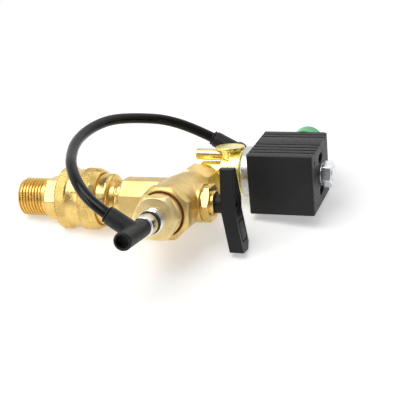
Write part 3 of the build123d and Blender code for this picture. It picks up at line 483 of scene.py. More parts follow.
class Flats:
    """The flats of a bar between two distances: flats across, number of sides and turn in degrees."""

    def __init__(self, start, end, across, sides=6, turn=0.0, corner_cut=0.12):
        self.start, self.end = start, end
        self.apothem = across / 2
        self.period = math.tau / sides
        self.turn = math.radians(turn)
        self.corner = self.apothem / math.cos(self.period / 2) - corner_cut

    def radius(self, angles):
        middle = wrap(angles - self.turn - self.period / 2, self.period)
        return np.minimum(self.apothem / np.cos(middle), self.corner)

    def extra_angles(self):
        """Angles close to each corner, so that the edges stay crisp."""
        near = [math.radians(part) for part in (-2.4, -1.2, -0.6, 0.0, 0.6, 1.2, 2.4)]
        corners = np.arange(0, math.tau - 0.01, self.period) + self.turn
        return [corner + part for corner in corners for part in near]


def lathe(name, where, outline, corner=0.15, around=160, flats=(), relief=None, step=0.3):
    """Turned work: a closed outline of (distance, radius) swept about the frame's Z axis.

    flats cut the bar to many-sided stretches.  relief(distance, angles, radii) changes the surface, as a
    thread or a knurl does, between relief.start and relief.end.
    """
    line = rounded(outline, corner)
    for cut in flats:
        line = resampled(line, cut.start, cut.end, step)
    angles = list(np.linspace(0, math.tau, around, endpoint=False))
    for cut in flats:
        angles += cut.extra_angles()
    angles = np.unique(np.round(np.mod(angles, math.tau), 5))
    stations = np.array(line)
    radii = np.repeat(stations[:, 1:2], len(angles), axis=1)
    for cut in flats:
        inside = (stations[:, 0] >= cut.start - 0.001) & (stations[:, 0] <= cut.end + 0.001)
        radii[inside] = np.minimum(radii[inside], cut.radius(angles)[None, :])
    if relief is not None:
        radii = relief(stations, angles, radii)
    across, up = radii * np.cos(angles), radii * np.sin(angles)
    distances = np.repeat(stations[:, 0:1], len(angles), axis=1)
    points = np.stack([across, up, distances], axis=2).reshape(-1, 3)
    obj = add_mesh(name, points, grid_faces(len(stations), len(angles)), where)
    steps = np.hypot(*np.diff(stations, axis=0, prepend=stations[:1]).T)
    along = np.repeat(np.cumsum(steps)[:, None], len(angles), axis=1).ravel() * MM
    tool = obj.data.attributes.new("tool_line", "FLOAT", "POINT")
    tool.data.foreach_set("value", along.astype(np.float32))
    tidy_mesh(obj)
    return obj


def grid_faces(rows, columns):
    """Quads over a grid that closes on itself both ways."""
    row, column = np.meshgrid(np.arange(rows), np.arange(columns), indexing="ij")
    this, after = row * columns, (row + 1) % rows * columns
    beside = (column + 1) % columns
    corners = [this + column, this + beside, after + beside, after + column]
    return np.stack(corners, axis=2).reshape(-1, 4).tolist()


def bare_copy(name, node):
    """A loose copy of a CAD node's mesh, with its split corners joined."""
    shape = bmesh.new()
    shape.from_mesh(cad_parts[node].data)
    bmesh.ops.remove_doubles(shape, verts=shape.verts, dist=SPLIT)
    return mesh_object(name, shape)


def apply_modifiers(obj):
    evaluated = obj.evaluated_get(bpy.context.evaluated_depsgraph_get())
    data = bpy.data.meshes.new_from_object(evaluated)
    obj.modifiers.clear()
    obj.data = data


def soften(obj, voxel, passes):
    """Joins what overlaps and rounds every corner a little, as forging, casting and moulding do."""
    remesh = obj.modifiers.new("remesh", "REMESH")
    remesh.mode = "VOXEL"
    remesh.voxel_size = voxel * MM
    smooth = obj.modifiers.new("smooth", "SMOOTH")
    smooth.factor = 0.5
    smooth.iterations = passes
    apply_modifiers(obj)
    obj.data.shade_smooth()
    return obj


def merged(name, *pieces):
    """One loose object made of several, which are taken away."""
    shape = bmesh.new()
    for piece in pieces:
        shape.from_mesh(piece.data)
    for piece in pieces:
        discard(piece)
    return mesh_object(name, shape)


def combine(obj, other, operation):
    """Unites obj with another loose object or cuts it by it, and takes the other away."""
    step = obj.modifiers.new("combine", "BOOLEAN")
    step.operation = operation
    step.object = other
    apply_modifiers(obj)
    discard(other)


def moved_points(obj, change):
    """Passes the mesh's points, in millimetres, through change(points)."""
    mesh = obj.data
    points = np.empty(len(mesh.vertices) * 3, np.float32)
    mesh.vertices.foreach_get("co", points)
    points = change(points.reshape(-1, 3) / MM) * MM
    mesh.vertices.foreach_set("co", points.astype(np.float32).ravel())
    mesh.update()


def solid_rod(name, where, start, end, radius, corner=0.1, around=96):
    """A closed cylinder, later merged with others."""
    outline = [(start, ON_AXIS), (start, radius), (end, radius), (end, ON_AXIS)]
    return lathe(name, where, outline, corner, around)


def stepped(start, *stretches):
    """Outline points of a bar from start, whose stretches are given as (end, radius)."""
    points = []
    for end, radius in stretches:
        points += [(start, radius), (end, radius)]
        start = end
    return points


def ring_outline(start, end, outer, inner):
    return [(start, inner), (start, outer), (end, outer), (end, inner)]


def turn_piece(node, where, outline, finish, corner, around, ending="turned", body="valve", **more):
    """Turned work that stands for a CAD node.  What else is named goes to lathe."""
    piece = lathe(f"{node}_{ending}", where, outline, corner, around, **more)
    finish_piece(piece, finish, body, node)


# ---------------------------------------------------------------- flush hose
HOSE_DIAMETER = 0.006
HOSE_POINTS = [
    (0.083909, -0.062, 0.004978),
    (0.071644, -0.062, 0.012523),
    (0.061, -0.0565, 0.0205),
    (0.0515, -0.044, 0.0275),
    (0.0455, -0.0305, 0.0305),
    (0.0415, -0.018, 0.0335),
    (0.0395, -0.0045, 0.036),
    (0.0405, 0.0095, 0.0385),
    (0.045, 0.024, 0.040),
    (0.054, 0.0385, 0.0385),
    (0.0675, 0.054, 0.035),
    (0.085472, 0.0615, 0.026514),
    (0.098035, 0.0615, 0.020113),
]


def make_hose():
    data = bpy.data.curves.new("flush_hose_tube", "CURVE")
    data.dimensions = "3D"
    data.bevel_depth = HOSE_DIAMETER / 2
    data.bevel_resolution = 8
    data.use_fill_caps = True
    spline = data.splines.new("NURBS")
    spline.points.add(len(HOSE_POINTS) - 1)
    for point, position in zip(spline.points, HOSE_POINTS):
        point.co = (*position, 1.0)
    spline.order_u = 3
    spline.use_endpoint_u = True
    spline.resolution_u = 16
    hose = linked("flush_hose_tube", data)
    finish_piece(hose, "hose", "valve", "flush_hose")


# ---------------------------------------------------------------- inlet nipple and coupler
THREAD_PITCH = 1.814
THREAD_CREST = 10.4775
THREAD_ROOT = 9.316
THREAD_END = 15.6
THREAD_RUN_OUT = 1.2
THREAD_LEAD_IN = 1.2
THREAD_STEEPNESS = 1.35
THREAD_STEP = 0.14
THREAD_GAP = 0.4                # between the threaded stretch and the hexagon
THREAD_UNDERCUT = 0.6
THREAD_WALL = 1.0               # points less than this from the bore aren't on the thread
NIPPLE_HEX_START = 17.0
NIPPLE_HEX_END = 25.0
NIPPLE_HEX_FLATS = 22.0
NIPPLE_HEX_CHAMFER = 0.9
NIPPLE_TAIL = 8.2
NIPPLE_BORE = 6.5
NIPPLE_BORE_CHAMFER = 0.5


def thread_relief(stations, angles, radii):
    """Rounded pipe thread on the outside of the nipple, running out before the hexagon."""
    x = stations[:, 0:1]
    turn = (x / THREAD_PITCH - angles[None, :] / math.tau) % 1.0
    tooth = 0.5 + 0.5 * np.cos(math.tau * turn)
    tooth = np.clip(0.5 + THREAD_STEEPNESS * (tooth - 0.5), 0.0, 1.0)
    run_out = np.clip((x - THREAD_END + THREAD_RUN_OUT) / THREAD_RUN_OUT, 0.0, 1.0)
    root = THREAD_ROOT + (THREAD_CREST - THREAD_ROOT) * run_out
    cut = root + (THREAD_CREST - root) * tooth
    outside = (stations[:, 1:2] > NIPPLE_BORE + THREAD_WALL) & (x < NIPPLE_HEX_START - NEAR)
    return np.where(outside, np.minimum(radii, cut), radii)


def hexagon_corner(flats):
    return flats / 2 / math.cos(math.pi / 6)


def make_nipple():
    tail_end = high("inlet_nipple").x
    corner = hexagon_corner(NIPPLE_HEX_FLATS)
    hex_edge = NIPPLE_HEX_FLATS / 2 - 0.1
    thread = np.arange(THREAD_LEAD_IN, NIPPLE_HEX_START - THREAD_GAP, THREAD_STEP)
    outline = [
        (0.0, NIPPLE_BORE + NIPPLE_BORE_CHAMFER),
        (0.0, THREAD_ROOT + 0.1),
        *[(x, THREAD_CREST) for x in thread],
        (NIPPLE_HEX_START, THREAD_CREST - THREAD_UNDERCUT),
        (NIPPLE_HEX_START, hex_edge),
        (NIPPLE_HEX_START + NIPPLE_HEX_CHAMFER, corner),
        (NIPPLE_HEX_END - NIPPLE_HEX_CHAMFER, corner),
        (NIPPLE_HEX_END, hex_edge),
        *stepped(NIPPLE_HEX_END, (tail_end, NIPPLE_TAIL)),
        (tail_end, NIPPLE_BORE),
        (NIPPLE_BORE_CHAMFER, NIPPLE_BORE),
    ]
    cut = Flats(NIPPLE_HEX_START, NIPPLE_HEX_END, NIPPLE_HEX_FLATS)
    more = {"flats": [cut], "relief": thread_relief, "body": "inlet"}
    turn_piece("inlet_nipple", along_x(), outline, "turned", corner=0.05, around=128, **more)


SLEEVE_RADIUS = 17.0
SLEEVE_RING = 6.0
SLEEVE_WAIST = 16.0
SLEEVE_WAIST_LENGTH = 8.0
SLEEVE_MOUTH = 15.6
SLEEVE_MOUTH_LENGTH = 3.0
SLEEVE_CHAMBER = 14.4
SLEEVE_CHAMBER_LENGTH = 16.5
SLEEVE_EDGE_LENGTH = 0.8
SLEEVE_EDGE_DROP = 0.9
SLEEVE_SLOPE = 0.7              # length of the slopes down to the waist
SLEEVE_BORE = 11.46
SLEEVE_CLIP_BORE = 12.68
SLEEVE_LAND_START = 31.0
KNURL_COUNT = 88
KNURL_DEPTH = 0.24
KNURL_LEAN = 1.0
KNURL_STEP = 0.16
KNURL_START = 0.85              # from the sleeve's end to the knurled stretch
KNURL_REAR_START = 0.25         # from the waist to the other knurled stretch
KNURL_MARGIN = 0.15
KNURL_INSET = 0.05
KNURL_FLANK = 1.5               # how steeply the diamonds rise


def knurl_relief(bands):
    """Diamond knurling on the stretches of outside surface in bands."""

    def relief(stations, angles, radii):
        x = stations[:, 0:1]
        inside = np.zeros_like(radii, bool)
        for start, end in bands:
            inside |= (x > start) & (x < end) & (stations[:, 1:2] > SLEEVE_RADIUS - NEAR)
        phase = KNURL_COUNT * angles[None, :] / math.tau
        lead = KNURL_LEAN * x * KNURL_COUNT / (math.tau * SLEEVE_RADIUS)
        right = np.abs(2 * ((phase + lead) % 1.0) - 1)
        left = np.abs(2 * ((phase - lead) % 1.0) - 1)
        height = np.clip(KNURL_FLANK * np.minimum(right, left), 0.0, 1.0)
        return np.where(inside, radii - KNURL_DEPTH * (1 - height), radii)

    return relief


def make_sleeve():
    start, end = ends("coupler_sleeve", "x")
    ring_end = start + SLEEVE_RING
    waist_end = ring_end + SLEEVE_WAIST_LENGTH
    mouth_start = end - SLEEVE_MOUTH_LENGTH
    bands = [
        (start + KNURL_START, ring_end - KNURL_MARGIN),
        (waist_end + KNURL_REAR_START, mouth_start - KNURL_MARGIN),
    ]
    first_ring, second_ring = [
        [(x, SLEEVE_RADIUS) for x in np.arange(low_x + KNURL_INSET, high_x - KNURL_INSET, KNURL_STEP)]
        for low_x, high_x in bands
    ]
    outline = [
        (start, SLEEVE_CLIP_BORE),
        (start, SLEEVE_RADIUS - SLEEVE_EDGE_DROP),
        (start + SLEEVE_EDGE_LENGTH, SLEEVE_RADIUS),
        *first_ring,
        (ring_end, SLEEVE_RADIUS),
        (ring_end + SLEEVE_SLOPE, SLEEVE_WAIST),
        (waist_end - SLEEVE_SLOPE, SLEEVE_WAIST),
        (waist_end, SLEEVE_RADIUS),
        *second_ring,
        (mouth_start, SLEEVE_RADIUS),
        (end, SLEEVE_MOUTH),
        *stepped(end, (end - SLEEVE_CHAMBER_LENGTH, SLEEVE_CHAMBER), (SLEEVE_LAND_START, SLEEVE_BORE)),
        (SLEEVE_LAND_START, SLEEVE_CLIP_BORE),
    ]
    more = {"ending": "knurled", "body": "sleeve", "relief": knurl_relief(bands)}
    turn_piece("coupler_sleeve", along_x(), outline, "turned", corner=0.2, around=6 * KNURL_COUNT, **more)


# ---------------------------------------------------------------- other turned pieces
COUPLER_START = 25.6
COUPLER_RADIUS = 11.38
COUPLER_BORE = 8.28
COUPLER_THROAT = 6.5
BAND_START = 44.0
BAND_END = 55.3
BAND_RADIUS = 14.2
BAND_ROUND = 1.6
NECK_END = 61.5
NECK_RADIUS = 11.0
NECK_GROOVE = 0.9
NECK_GROOVE_WIDTH = 1.2
BODY_THREAD_RADIUS = 10.4
CLIP_START = 29.85
CLIP_END = 30.85
CLIP_FLOOR = 10.58
LOCK_X = 33.5
LOCK_HOLE = 2.05
LOCK_COUNT = 8
LOCK_DRILLING = 6.0             # length of the drill, longer than the wall
NIPPLE_ROOM = 1.0               # between the nipple's end and the throat
SEAL_GROOVE_START = 38.5
SEAL_GROOVE_END = 41.0
SEAL_GROOVE_RADIUS = 10.1


def arc(centre, radius, start, end, count=7):
    """Points of an arc, with its angles in degrees from the distance axis."""
    angles = [math.radians(start + (end - start) * index / (count - 1)) for index in range(count)]
    return [(centre[0] + radius * math.cos(angle), centre[1] + radius * math.sin(angle)) for angle in angles]


def cut_holes(obj, places, radius, depth):
    """Drills a hole at each place, along its Z axis."""
    shape = bmesh.new()
    size = {"radius1": radius * MM, "radius2": radius * MM, "depth": depth * MM}
    for where in places:
        made = bmesh.ops.create_cone(shape, cap_ends=True, segments=24, **size)
        scaled = where.copy()
        scaled.translation = where.translation * MM
        bmesh.ops.transform(shape, matrix=scaled, verts=made["verts"])
    combine(obj, mesh_object("drill", shape), "DIFFERENCE")
    obj.data.set_sharp_from_angle(angle=SHARP_ANGLE)


def make_coupler():
    end = high("coupler_body").x
    throat_start = high("inlet_nipple").x + NIPPLE_ROOM
    groove_start = (BAND_END + NECK_END) / 2 - NECK_GROOVE_WIDTH / 2
    groove_end = groove_start + NECK_GROOVE_WIDTH
    outline = [
        (COUPLER_START, COUPLER_BORE),
        *stepped(
            COUPLER_START,
            (CLIP_START, COUPLER_RADIUS),
            (CLIP_END, CLIP_FLOOR),
            (BAND_START, COUPLER_RADIUS),
        ),
        (BAND_START, BAND_RADIUS),
        *arc((BAND_END - BAND_ROUND, BAND_RADIUS - BAND_ROUND), BAND_ROUND, 90, 0),
        *stepped(
            BAND_END,
            (groove_start, NECK_RADIUS),
            (groove_end, NECK_RADIUS - NECK_GROOVE),
            (NECK_END, NECK_RADIUS),
            (end, BODY_THREAD_RADIUS),
            (throat_start, COUPLER_THROAT),
            (SEAL_GROOVE_END, COUPLER_BORE),
            (SEAL_GROOVE_START, SEAL_GROOVE_RADIUS),
        ),
        (SEAL_GROOVE_START, COUPLER_BORE),
    ]
    coupler = lathe("coupler_body_turned", along_x(), outline, corner=0.12, around=144)
    middle = (COUPLER_RADIUS + COUPLER_BORE) / 2
    places = []
    for index in range(LOCK_COUNT):
        turn = math.tau * index / LOCK_COUNT
        out = (0, math.cos(turn), math.sin(turn))
        places.append(place((LOCK_X, middle * out[1], middle * out[2]), out, (1, 0, 0)))
    cut_holes(coupler, places, LOCK_HOLE, LOCK_DRILLING)
    finish_piece(coupler, "turned", "valve", "coupler_body")


GLAND_FACE = 106.5
GLAND_NECK_RADIUS = 9.4
GLAND_NECK_LENGTH = 1.1
GLAND_HEX_LENGTH = 3.6
GLAND_FLATS = 18.7
GLAND_CHAMFER = 1.0
GLAND_HUB_RADIUS = 6.8
GLAND_HUB_CHAMFER = 0.4
GLAND_FOOT_RADIUS = 6.9
STEM_BORE = 3.58
CHAMFER_LENGTH = 0.62           # of a hexagon's chamfer, as a share of its height


def hexagon_outline(start, end, flats, chamfer):
    """The outside of a chamfered hexagon, as points of (distance, radius)."""
    corner = hexagon_corner(flats)
    return [
        (start, corner - chamfer),
        (start + chamfer * CHAMFER_LENGTH, corner),
        (end - chamfer * CHAMFER_LENGTH, corner),
        (end, corner - chamfer),
    ]


def make_gland():
    foot, end = ends("gland_nut", "x")
    hex_start = GLAND_FACE + GLAND_NECK_LENGTH
    hex_end = hex_start + GLAND_HEX_LENGTH
    outline = [
        (foot, STEM_BORE),
        *stepped(foot, (GLAND_FACE, GLAND_FOOT_RADIUS), (hex_start, GLAND_NECK_RADIUS)),
        *hexagon_outline(hex_start, hex_end, GLAND_FLATS, GLAND_CHAMFER),
        *stepped(hex_end, (end - GLAND_HUB_CHAMFER, GLAND_HUB_RADIUS)),
        (end, GLAND_HUB_RADIUS - GLAND_HUB_CHAMFER),
        (end, STEM_BORE),
    ]
    cut = Flats(hex_start, hex_end, GLAND_FLATS)
    turn_piece("gland_nut", along_x(), outline, "turned", corner=0.12, around=96, flats=[cut])


CAP_X = 92.0
CAP_THREAD_RADIUS = 9.55
CAP_FLANGE_RADIUS = 11.3
CAP_FLANGE_LENGTH = 5.0
CAP_HEX_LENGTH = 6.0
CAP_FLATS = 22.0
CAP_CHAMFER = 1.9
CAP_HEX_ROOT = 0.4              # slope from the hexagon to the flange
CAP_FLANGE_EDGE = 0.3
CAP_FLANGE_SLOPE = 0.6
CAP_HOLLOW = 8.0
CAP_HOLLOW_DEPTH = 11.0
STUD_THREAD = 4.85
STUD_BORE_GAP = 0.05


def make_cap():
    face, end = ends("strainer_cap", "y")
    flange_front = face + CAP_HEX_LENGTH
    flange_rear = flange_front + CAP_FLANGE_LENGTH
    hollow = end - CAP_HOLLOW_DEPTH
    stud_bore = STUD_THREAD + STUD_BORE_GAP
    flange_edge = CAP_FLANGE_RADIUS - CAP_FLANGE_EDGE
    outline = [
        (face, stud_bore),
        *hexagon_outline(face, flange_front, CAP_FLATS, CAP_CHAMFER)[:2],
        (flange_front - CAP_HEX_ROOT, hexagon_corner(CAP_FLATS)),
        (flange_front, flange_edge),
        (flange_front + CAP_FLANGE_SLOPE, CAP_FLANGE_RADIUS),
        (flange_rear - CAP_FLANGE_EDGE, CAP_FLANGE_RADIUS),
        (flange_rear, flange_edge),
        *stepped(flange_rear, (end, CAP_THREAD_RADIUS), (hollow, CAP_HOLLOW)),
        (hollow, stud_bore),
    ]
    cut = Flats(face, flange_front, CAP_FLATS)
    turn_piece("strainer_cap", along_y(CAP_X), outline, "cap", corner=0.15, around=120, flats=[cut])


STUD_RING_RADIUS = 6.45
STUD_RING_LENGTH = 5.4
STUD_RING_CHAMFER = 0.7
STUD_LINE = 0.3                 # depth of the line round the ring's middle
STUD_LINE_WIDTH = 0.7
STUD_LINE_FLOOR = 0.4
STUD_NECK_RADIUS = 4.2
STUD_NECK_LENGTH = 2.4
STUD_COLLAR_RADIUS = 5.5
STUD_COLLAR_LENGTH = 8.2
STUD_COLLAR_ROUND = 0.9
STUD_TIP_RADIUS = 2.6
STUD_BORE = 1.6


def make_stud():
    tip, end = ends("cap_stud", "y")
    face = low("strainer_cap").y
    ring_front = face - STUD_RING_LENGTH
    neck_front = ring_front - STUD_NECK_LENGTH
    collar_front = neck_front - STUD_COLLAR_LENGTH
    middle = (ring_front + face) / 2
    high_round = STUD_COLLAR_RADIUS - STUD_COLLAR_ROUND
    outline = [
        (tip, STUD_BORE),
        *stepped(tip, (collar_front, STUD_TIP_RADIUS)),
        *arc((collar_front + STUD_COLLAR_ROUND, high_round), STUD_COLLAR_ROUND, 180, 90, 5),
        *arc((neck_front - STUD_COLLAR_ROUND, high_round), STUD_COLLAR_ROUND, 90, 0, 5),
        *stepped(neck_front, (ring_front, STUD_NECK_RADIUS)),
        (ring_front, STUD_RING_RADIUS - STUD_RING_CHAMFER),
        (ring_front + STUD_RING_CHAMFER, STUD_RING_RADIUS),
        (middle - STUD_LINE_WIDTH / 2, STUD_RING_RADIUS),
        (middle - STUD_LINE_FLOOR / 2, STUD_RING_RADIUS - STUD_LINE),
        (middle + STUD_LINE_FLOOR / 2, STUD_RING_RADIUS - STUD_LINE),
        (middle + STUD_LINE_WIDTH / 2, STUD_RING_RADIUS),
        (face, STUD_RING_RADIUS),
        *stepped(face, (end, STUD_THREAD)),
        (end, STUD_BORE),
    ]
    turn_piece("cap_stud", along_y(CAP_X), outline, "nickel", corner=0.1, around=96)


ADAPTOR_THREAD = 11.45
ADAPTOR_NECK = 9.45
ADAPTOR_FLATS = 24.0
ADAPTOR_CHAMFER = 1.5
ADAPTOR_LEAN = 17.0             # degrees
ADAPTOR_NOSE = 8.33
ADAPTOR_BORE = 5.4
ADAPTOR_SHOULDER = 8.35
ADAPTOR_SHOULDER_LENGTH = 1.0
LEG_REAR = 18.0
SEAL_THICKNESS = 1.0
SEAL_GAP = 0.1
ADAPTOR_NOSE_LENGTH = 10.0


def make_adaptor():
    start, end = ends("outlet_adaptor", "y")
    face = end - ADAPTOR_NOSE_LENGTH
    shoulder_end = start + ADAPTOR_SHOULDER_LENGTH
    hex_start = LEG_REAR + SEAL_THICKNESS
    outline = [
        (start, ADAPTOR_BORE),
        *stepped(
            start,
            (shoulder_end, ADAPTOR_SHOULDER),
            (LEG_REAR, ADAPTOR_THREAD),
            (hex_start, ADAPTOR_NECK),
        ),
        *hexagon_outline(hex_start, face, ADAPTOR_FLATS, ADAPTOR_CHAMFER),
        *stepped(face, (end, ADAPTOR_NOSE)),
        (end, ADAPTOR_BORE),
    ]
    cut = Flats(hex_start, face, ADAPTOR_FLATS, turn=ADAPTOR_LEAN)
    turn_piece("outlet_adaptor", along_y(CAP_X), outline, "cap", corner=0.12, around=120, flats=[cut])


def make_adaptor_seal():
    inner = ADAPTOR_NECK + SEAL_GAP
    outline = ring_outline(LEG_REAR, LEG_REAR + SEAL_THICKNESS, ADAPTOR_FLATS / 2, inner)
    turn_piece("adaptor_seal", along_y(CAP_X), outline, "fibre", corner=0.15, around=96, ending="ring")


SOLENOID_Y = 45.7
SOLENOID_Z = 7.3
SPIGOT_Z = 16.8
SPIGOT_RADIUS = 3.15
SPIGOT_BORE = 2.0
SPIGOT_SHOULDER = 103.0
SPIGOT_CHAMFER = 0.5
SPIGOT_BORE_CHAMFER = 0.3
SPIGOT_STEP = 0.4


def make_spigot():
    start, end = ends("drain_spigot", "x")
    outline = [
        (start, SPIGOT_BORE + SPIGOT_BORE_CHAMFER),
        (start, SPIGOT_RADIUS - SPIGOT_CHAMFER),
        (start + SPIGOT_CHAMFER, SPIGOT_RADIUS),
        (SPIGOT_SHOULDER, SPIGOT_RADIUS),
        *stepped(SPIGOT_SHOULDER, (end, SPIGOT_RADIUS - SPIGOT_STEP)),
        (end, SPIGOT_BORE),
        (start + SPIGOT_BORE_CHAMFER, SPIGOT_BORE),
    ]
    turn_piece("drain_spigot", along_x(SOLENOID_Y, SPIGOT_Z), outline, "spigot", corner=0.1, around=64)


FLANGE_END = 115.3
TUBE_NECK_RADIUS = 11.2
TUBE_NECK_END = 116.2
TUBE_PLATE_RADIUS = 14.3
TUBE_PLATE_EDGE = 0.6
COIL_START = 122.6
TUBE_RADIUS = 6.1
TUBE_BORE = 5.1


def solenoid_axis():
    return along_x(SOLENOID_Y, SOLENOID_Z)


def make_tube():
    end = high("armature_tube").x
    edge = TUBE_PLATE_EDGE
    outline = [
        (FLANGE_END, TUBE_BORE),
        *stepped(FLANGE_END, (TUBE_NECK_END, TUBE_NECK_RADIUS)),
        (TUBE_NECK_END, TUBE_PLATE_RADIUS - edge),
        (TUBE_NECK_END + 0.3 * edge, TUBE_PLATE_RADIUS - 0.3 * edge),
        (TUBE_NECK_END + edge, TUBE_PLATE_RADIUS),
        (COIL_START, TUBE_PLATE_RADIUS),
        *stepped(COIL_START, (end, TUBE_RADIUS)),
        (end, TUBE_BORE),
    ]
    turn_piece("armature_tube", solenoid_axis(), outline, "stainless", corner=0.1, around=128)


COIL_END = 158.9
CORE_STUD = 3.95
CORE_STUD_ROOT = 157.9
CORE_TIP_RADIUS = 5.05
CORE_THREAD_PITCH = 1.25
CORE_THREAD_DEPTH = 0.62
CORE_THREAD_STEP = 0.12
CORE_SKIN = 0.75                # depth of the surface that the thread changes
CORE_THREAD_START = 0.1         # past the coil's end
CORE_THREAD_END = 0.5           # short of the stud's end
CORE_CHAMFER = 0.6


def core_thread(stations, angles, radii):
    """An M8 thread on the end of the fixed core."""
    x = stations[:, 0:1]
    turn = (x / CORE_THREAD_PITCH - angles[None, :] / math.tau) % 1.0
    dip = CORE_THREAD_DEPTH * (1 - np.abs(2 * turn - 1))
    outside = (x > COIL_END + 2 * CORE_THREAD_START) & (stations[:, 1:2] > CORE_STUD - CORE_SKIN)
    return np.where(outside, np.minimum(radii, CORE_STUD - dip), radii)


def make_core():
    start, end = ends("fixed_core", "x")
    tube_end = high("armature_tube").x
    thread = np.arange(COIL_END + CORE_THREAD_START, end - CORE_THREAD_END, CORE_THREAD_STEP)
    outline = [
        (start, ON_AXIS),
        *stepped(start, (tube_end, CORE_TIP_RADIUS), (CORE_STUD_ROOT, TUBE_RADIUS)),
        (CORE_STUD_ROOT, CORE_STUD),
        *[(x, CORE_STUD) for x in thread],
        (end, CORE_STUD - CORE_CHAMFER),
        (end, ON_AXIS),
    ]
    turn_piece("fixed_core", solenoid_axis(), outline, "zinc", corner=0.05, around=72, relief=core_thread)


NUT_FLATS = 13.0
NUT_TURN = 20.8                 # degrees
NUT_CHAMFER = 0.9
NUT_BORE = CORE_STUD + 0.05     # with its play on the stud
NUT_BORE_CHAMFER = 0.4
WASHER_RADIUS = 6.5


def make_nut():
    start, end = ends("coil_nut", "x")
    outline = [
        (start, NUT_BORE),
        *hexagon_outline(start, end, NUT_FLATS, NUT_CHAMFER),
        (end, NUT_BORE + NUT_BORE_CHAMFER),
        (end - NUT_BORE_CHAMFER, NUT_BORE),
    ]
    cut = Flats(start, end, NUT_FLATS, turn=NUT_TURN)
    turn_piece("coil_nut", solenoid_axis(), outline, "zinc", corner=0.1, around=84, flats=[cut])


def make_washer():
    outline = ring_outline(*ends("coil_washer", "x"), WASHER_RADIUS, NUT_BORE)
    turn_piece("coil_washer", solenoid_axis(), outline, "zinc", corner=0.22, around=84)


# ---------------------------------------------------------------- studio
FLOOR_NORMAL = Vector((0.1275, -0.331, 1.0)).normalized()
FLOOR_POINT = Vector((0.040, -0.0056, -0.0175))
FLOOR_RADIUS = 0.24
FLOOR_GLOW = 0.42
FLOOR_FADE = (0.72 * FLOOR_RADIUS, 0.98 * FLOOR_RADIUS)
OBJECT_CENTRE = Vector((0.083, 0.0, 0.01))


def make_floor():
    shape = bmesh.new()
    bmesh.ops.create_circle(shape, cap_ends=True, segments=96, radius=FLOOR_RADIUS)
    floor = mesh_object("studio_floor", shape)
    drop = (OBJECT_CENTRE - FLOOR_POINT).dot(FLOOR_NORMAL)
    floor.location = OBJECT_CENTRE - FLOOR_NORMAL * drop
    floor.rotation_mode = "QUATERNION"
    floor.rotation_quaternion = FLOOR_NORMAL.to_track_quat("Z", "Y")
    floor.data.materials.append(floor_material())


def floor_material():
    """White paper that keeps the shadow and fades out at its rim and from below."""
    finish = Finish("studio_paper", roughness=0.9)
    tree = finish.tree
    grain = finish.noise(1.5, 3.0)
    finish.colour(finish.clouded(grain, (0.80, 0.80, 0.80), (0.83, 0.83, 0.83)))
    path = finish.node("ShaderNodeLightPath")
    seen = finish.math("MAXIMUM", path.outputs["Is Camera Ray"], path.outputs["Is Glossy Ray"])
    seen = finish.math("MAXIMUM", seen, path.outputs["Is Transmission Ray"])
    glow = finish.node("ShaderNodeEmission")
    finish.feed(glow.inputs["Strength"], finish.math("MULTIPLY", seen, FLOOR_GLOW))
    lit = finish.node("ShaderNodeAddShader")
    tree.links.new(finish.shader.outputs[0], lit.inputs[0])
    tree.links.new(glow.outputs[0], lit.inputs[1])
    clear = finish.node("ShaderNodeBsdfTransparent")
    length = finish.node("ShaderNodeVectorMath", operation="LENGTH")
    finish.feed(length.inputs[0], finish.place)
    fade = finish.span(length.outputs["Value"], *FLOOR_FADE)
    side = finish.node("ShaderNodeNewGeometry").outputs["Backfacing"]
    hidden = finish.math("MAXIMUM", fade, side)
    shown = finish.node("ShaderNodeMixShader")
    finish.feed(shown.inputs[0], hidden)
    tree.links.new(lit.outputs[0], shown.inputs[1])
    tree.links.new(clear.outputs[0], shown.inputs[2])
    output = next(node for node in tree.nodes if node.type == "OUTPUT_MATERIAL")
    tree.links.new(shown.outputs[0], output.inputs["Surface"])
    return finish.material


# The room that metal mirrors: dark in a band low behind the viewer, and dimmer straight overhead.
DARK_HEIGHT = 0.45
DARK_FALL = 1.8
DARK_GAIN = 2.0
DARK_DEPTH = 0.85
ROOM_GLOSS = 0.95
OVERHEAD_START = 1.2
OVERHEAD_RISE = 2.2
OVERHEAD_DEPTH = 0.75
WORLD_FILL = 0.35


def make_world():
    """A white room for the camera, dimmer where metal mirrors it, and a faint fill."""
    world = bpy.data.worlds.new("studio")
    bpy.context.scene.world = world
    world.use_nodes = True
    nodes = Nodes(world.node_tree)
    direction = nodes.node("ShaderNodeTexCoord").outputs["Generated"]
    ray = nodes.node("ShaderNodeLightPath").outputs

    def along(vector):
        made = nodes.node("ShaderNodeVectorMath", operation="DOT_PRODUCT")
        nodes.feed(made.inputs[0], direction)
        made.inputs[1].default_value = vector
        return made.outputs["Value"]

    def times(first, second, clamp=False):
        return nodes.math("MULTIPLY", first, second, clamp)

    def less(first, second):
        return nodes.math("SUBTRACT", first, second, clamp=True)

    height = along(FLOOR_NORMAL)
    from_band = nodes.math("ABSOLUTE", nodes.math("ADD", height, -DARK_HEIGHT))
    in_band = less(1.0, times(from_band, DARK_FALL))
    facing = times(along(-CAMERA_AIM.normalized()), DARK_GAIN, clamp=True)
    dimmed = less(1.0, times(times(in_band, facing), DARK_DEPTH))
    overhead = less(times(height, OVERHEAD_RISE), OVERHEAD_START)
    dimmed = times(dimmed, less(1.0, times(overhead, OVERHEAD_DEPTH)))
    straight = nodes.math("MAXIMUM", ray["Is Camera Ray"], ray["Is Transmission Ray"])
    mirrored = times(ray["Is Glossy Ray"], times(dimmed, ROOM_GLOSS))
    seen = nodes.math("MAXIMUM", straight, mirrored)
    background = world.node_tree.nodes["Background"]
    background.inputs["Color"].default_value = (1.0, 1.0, 1.0, 1.0)
    nodes.feed(background.inputs["Strength"], nodes.math("MAXIMUM", seen, times(dimmed, WORLD_FILL)))


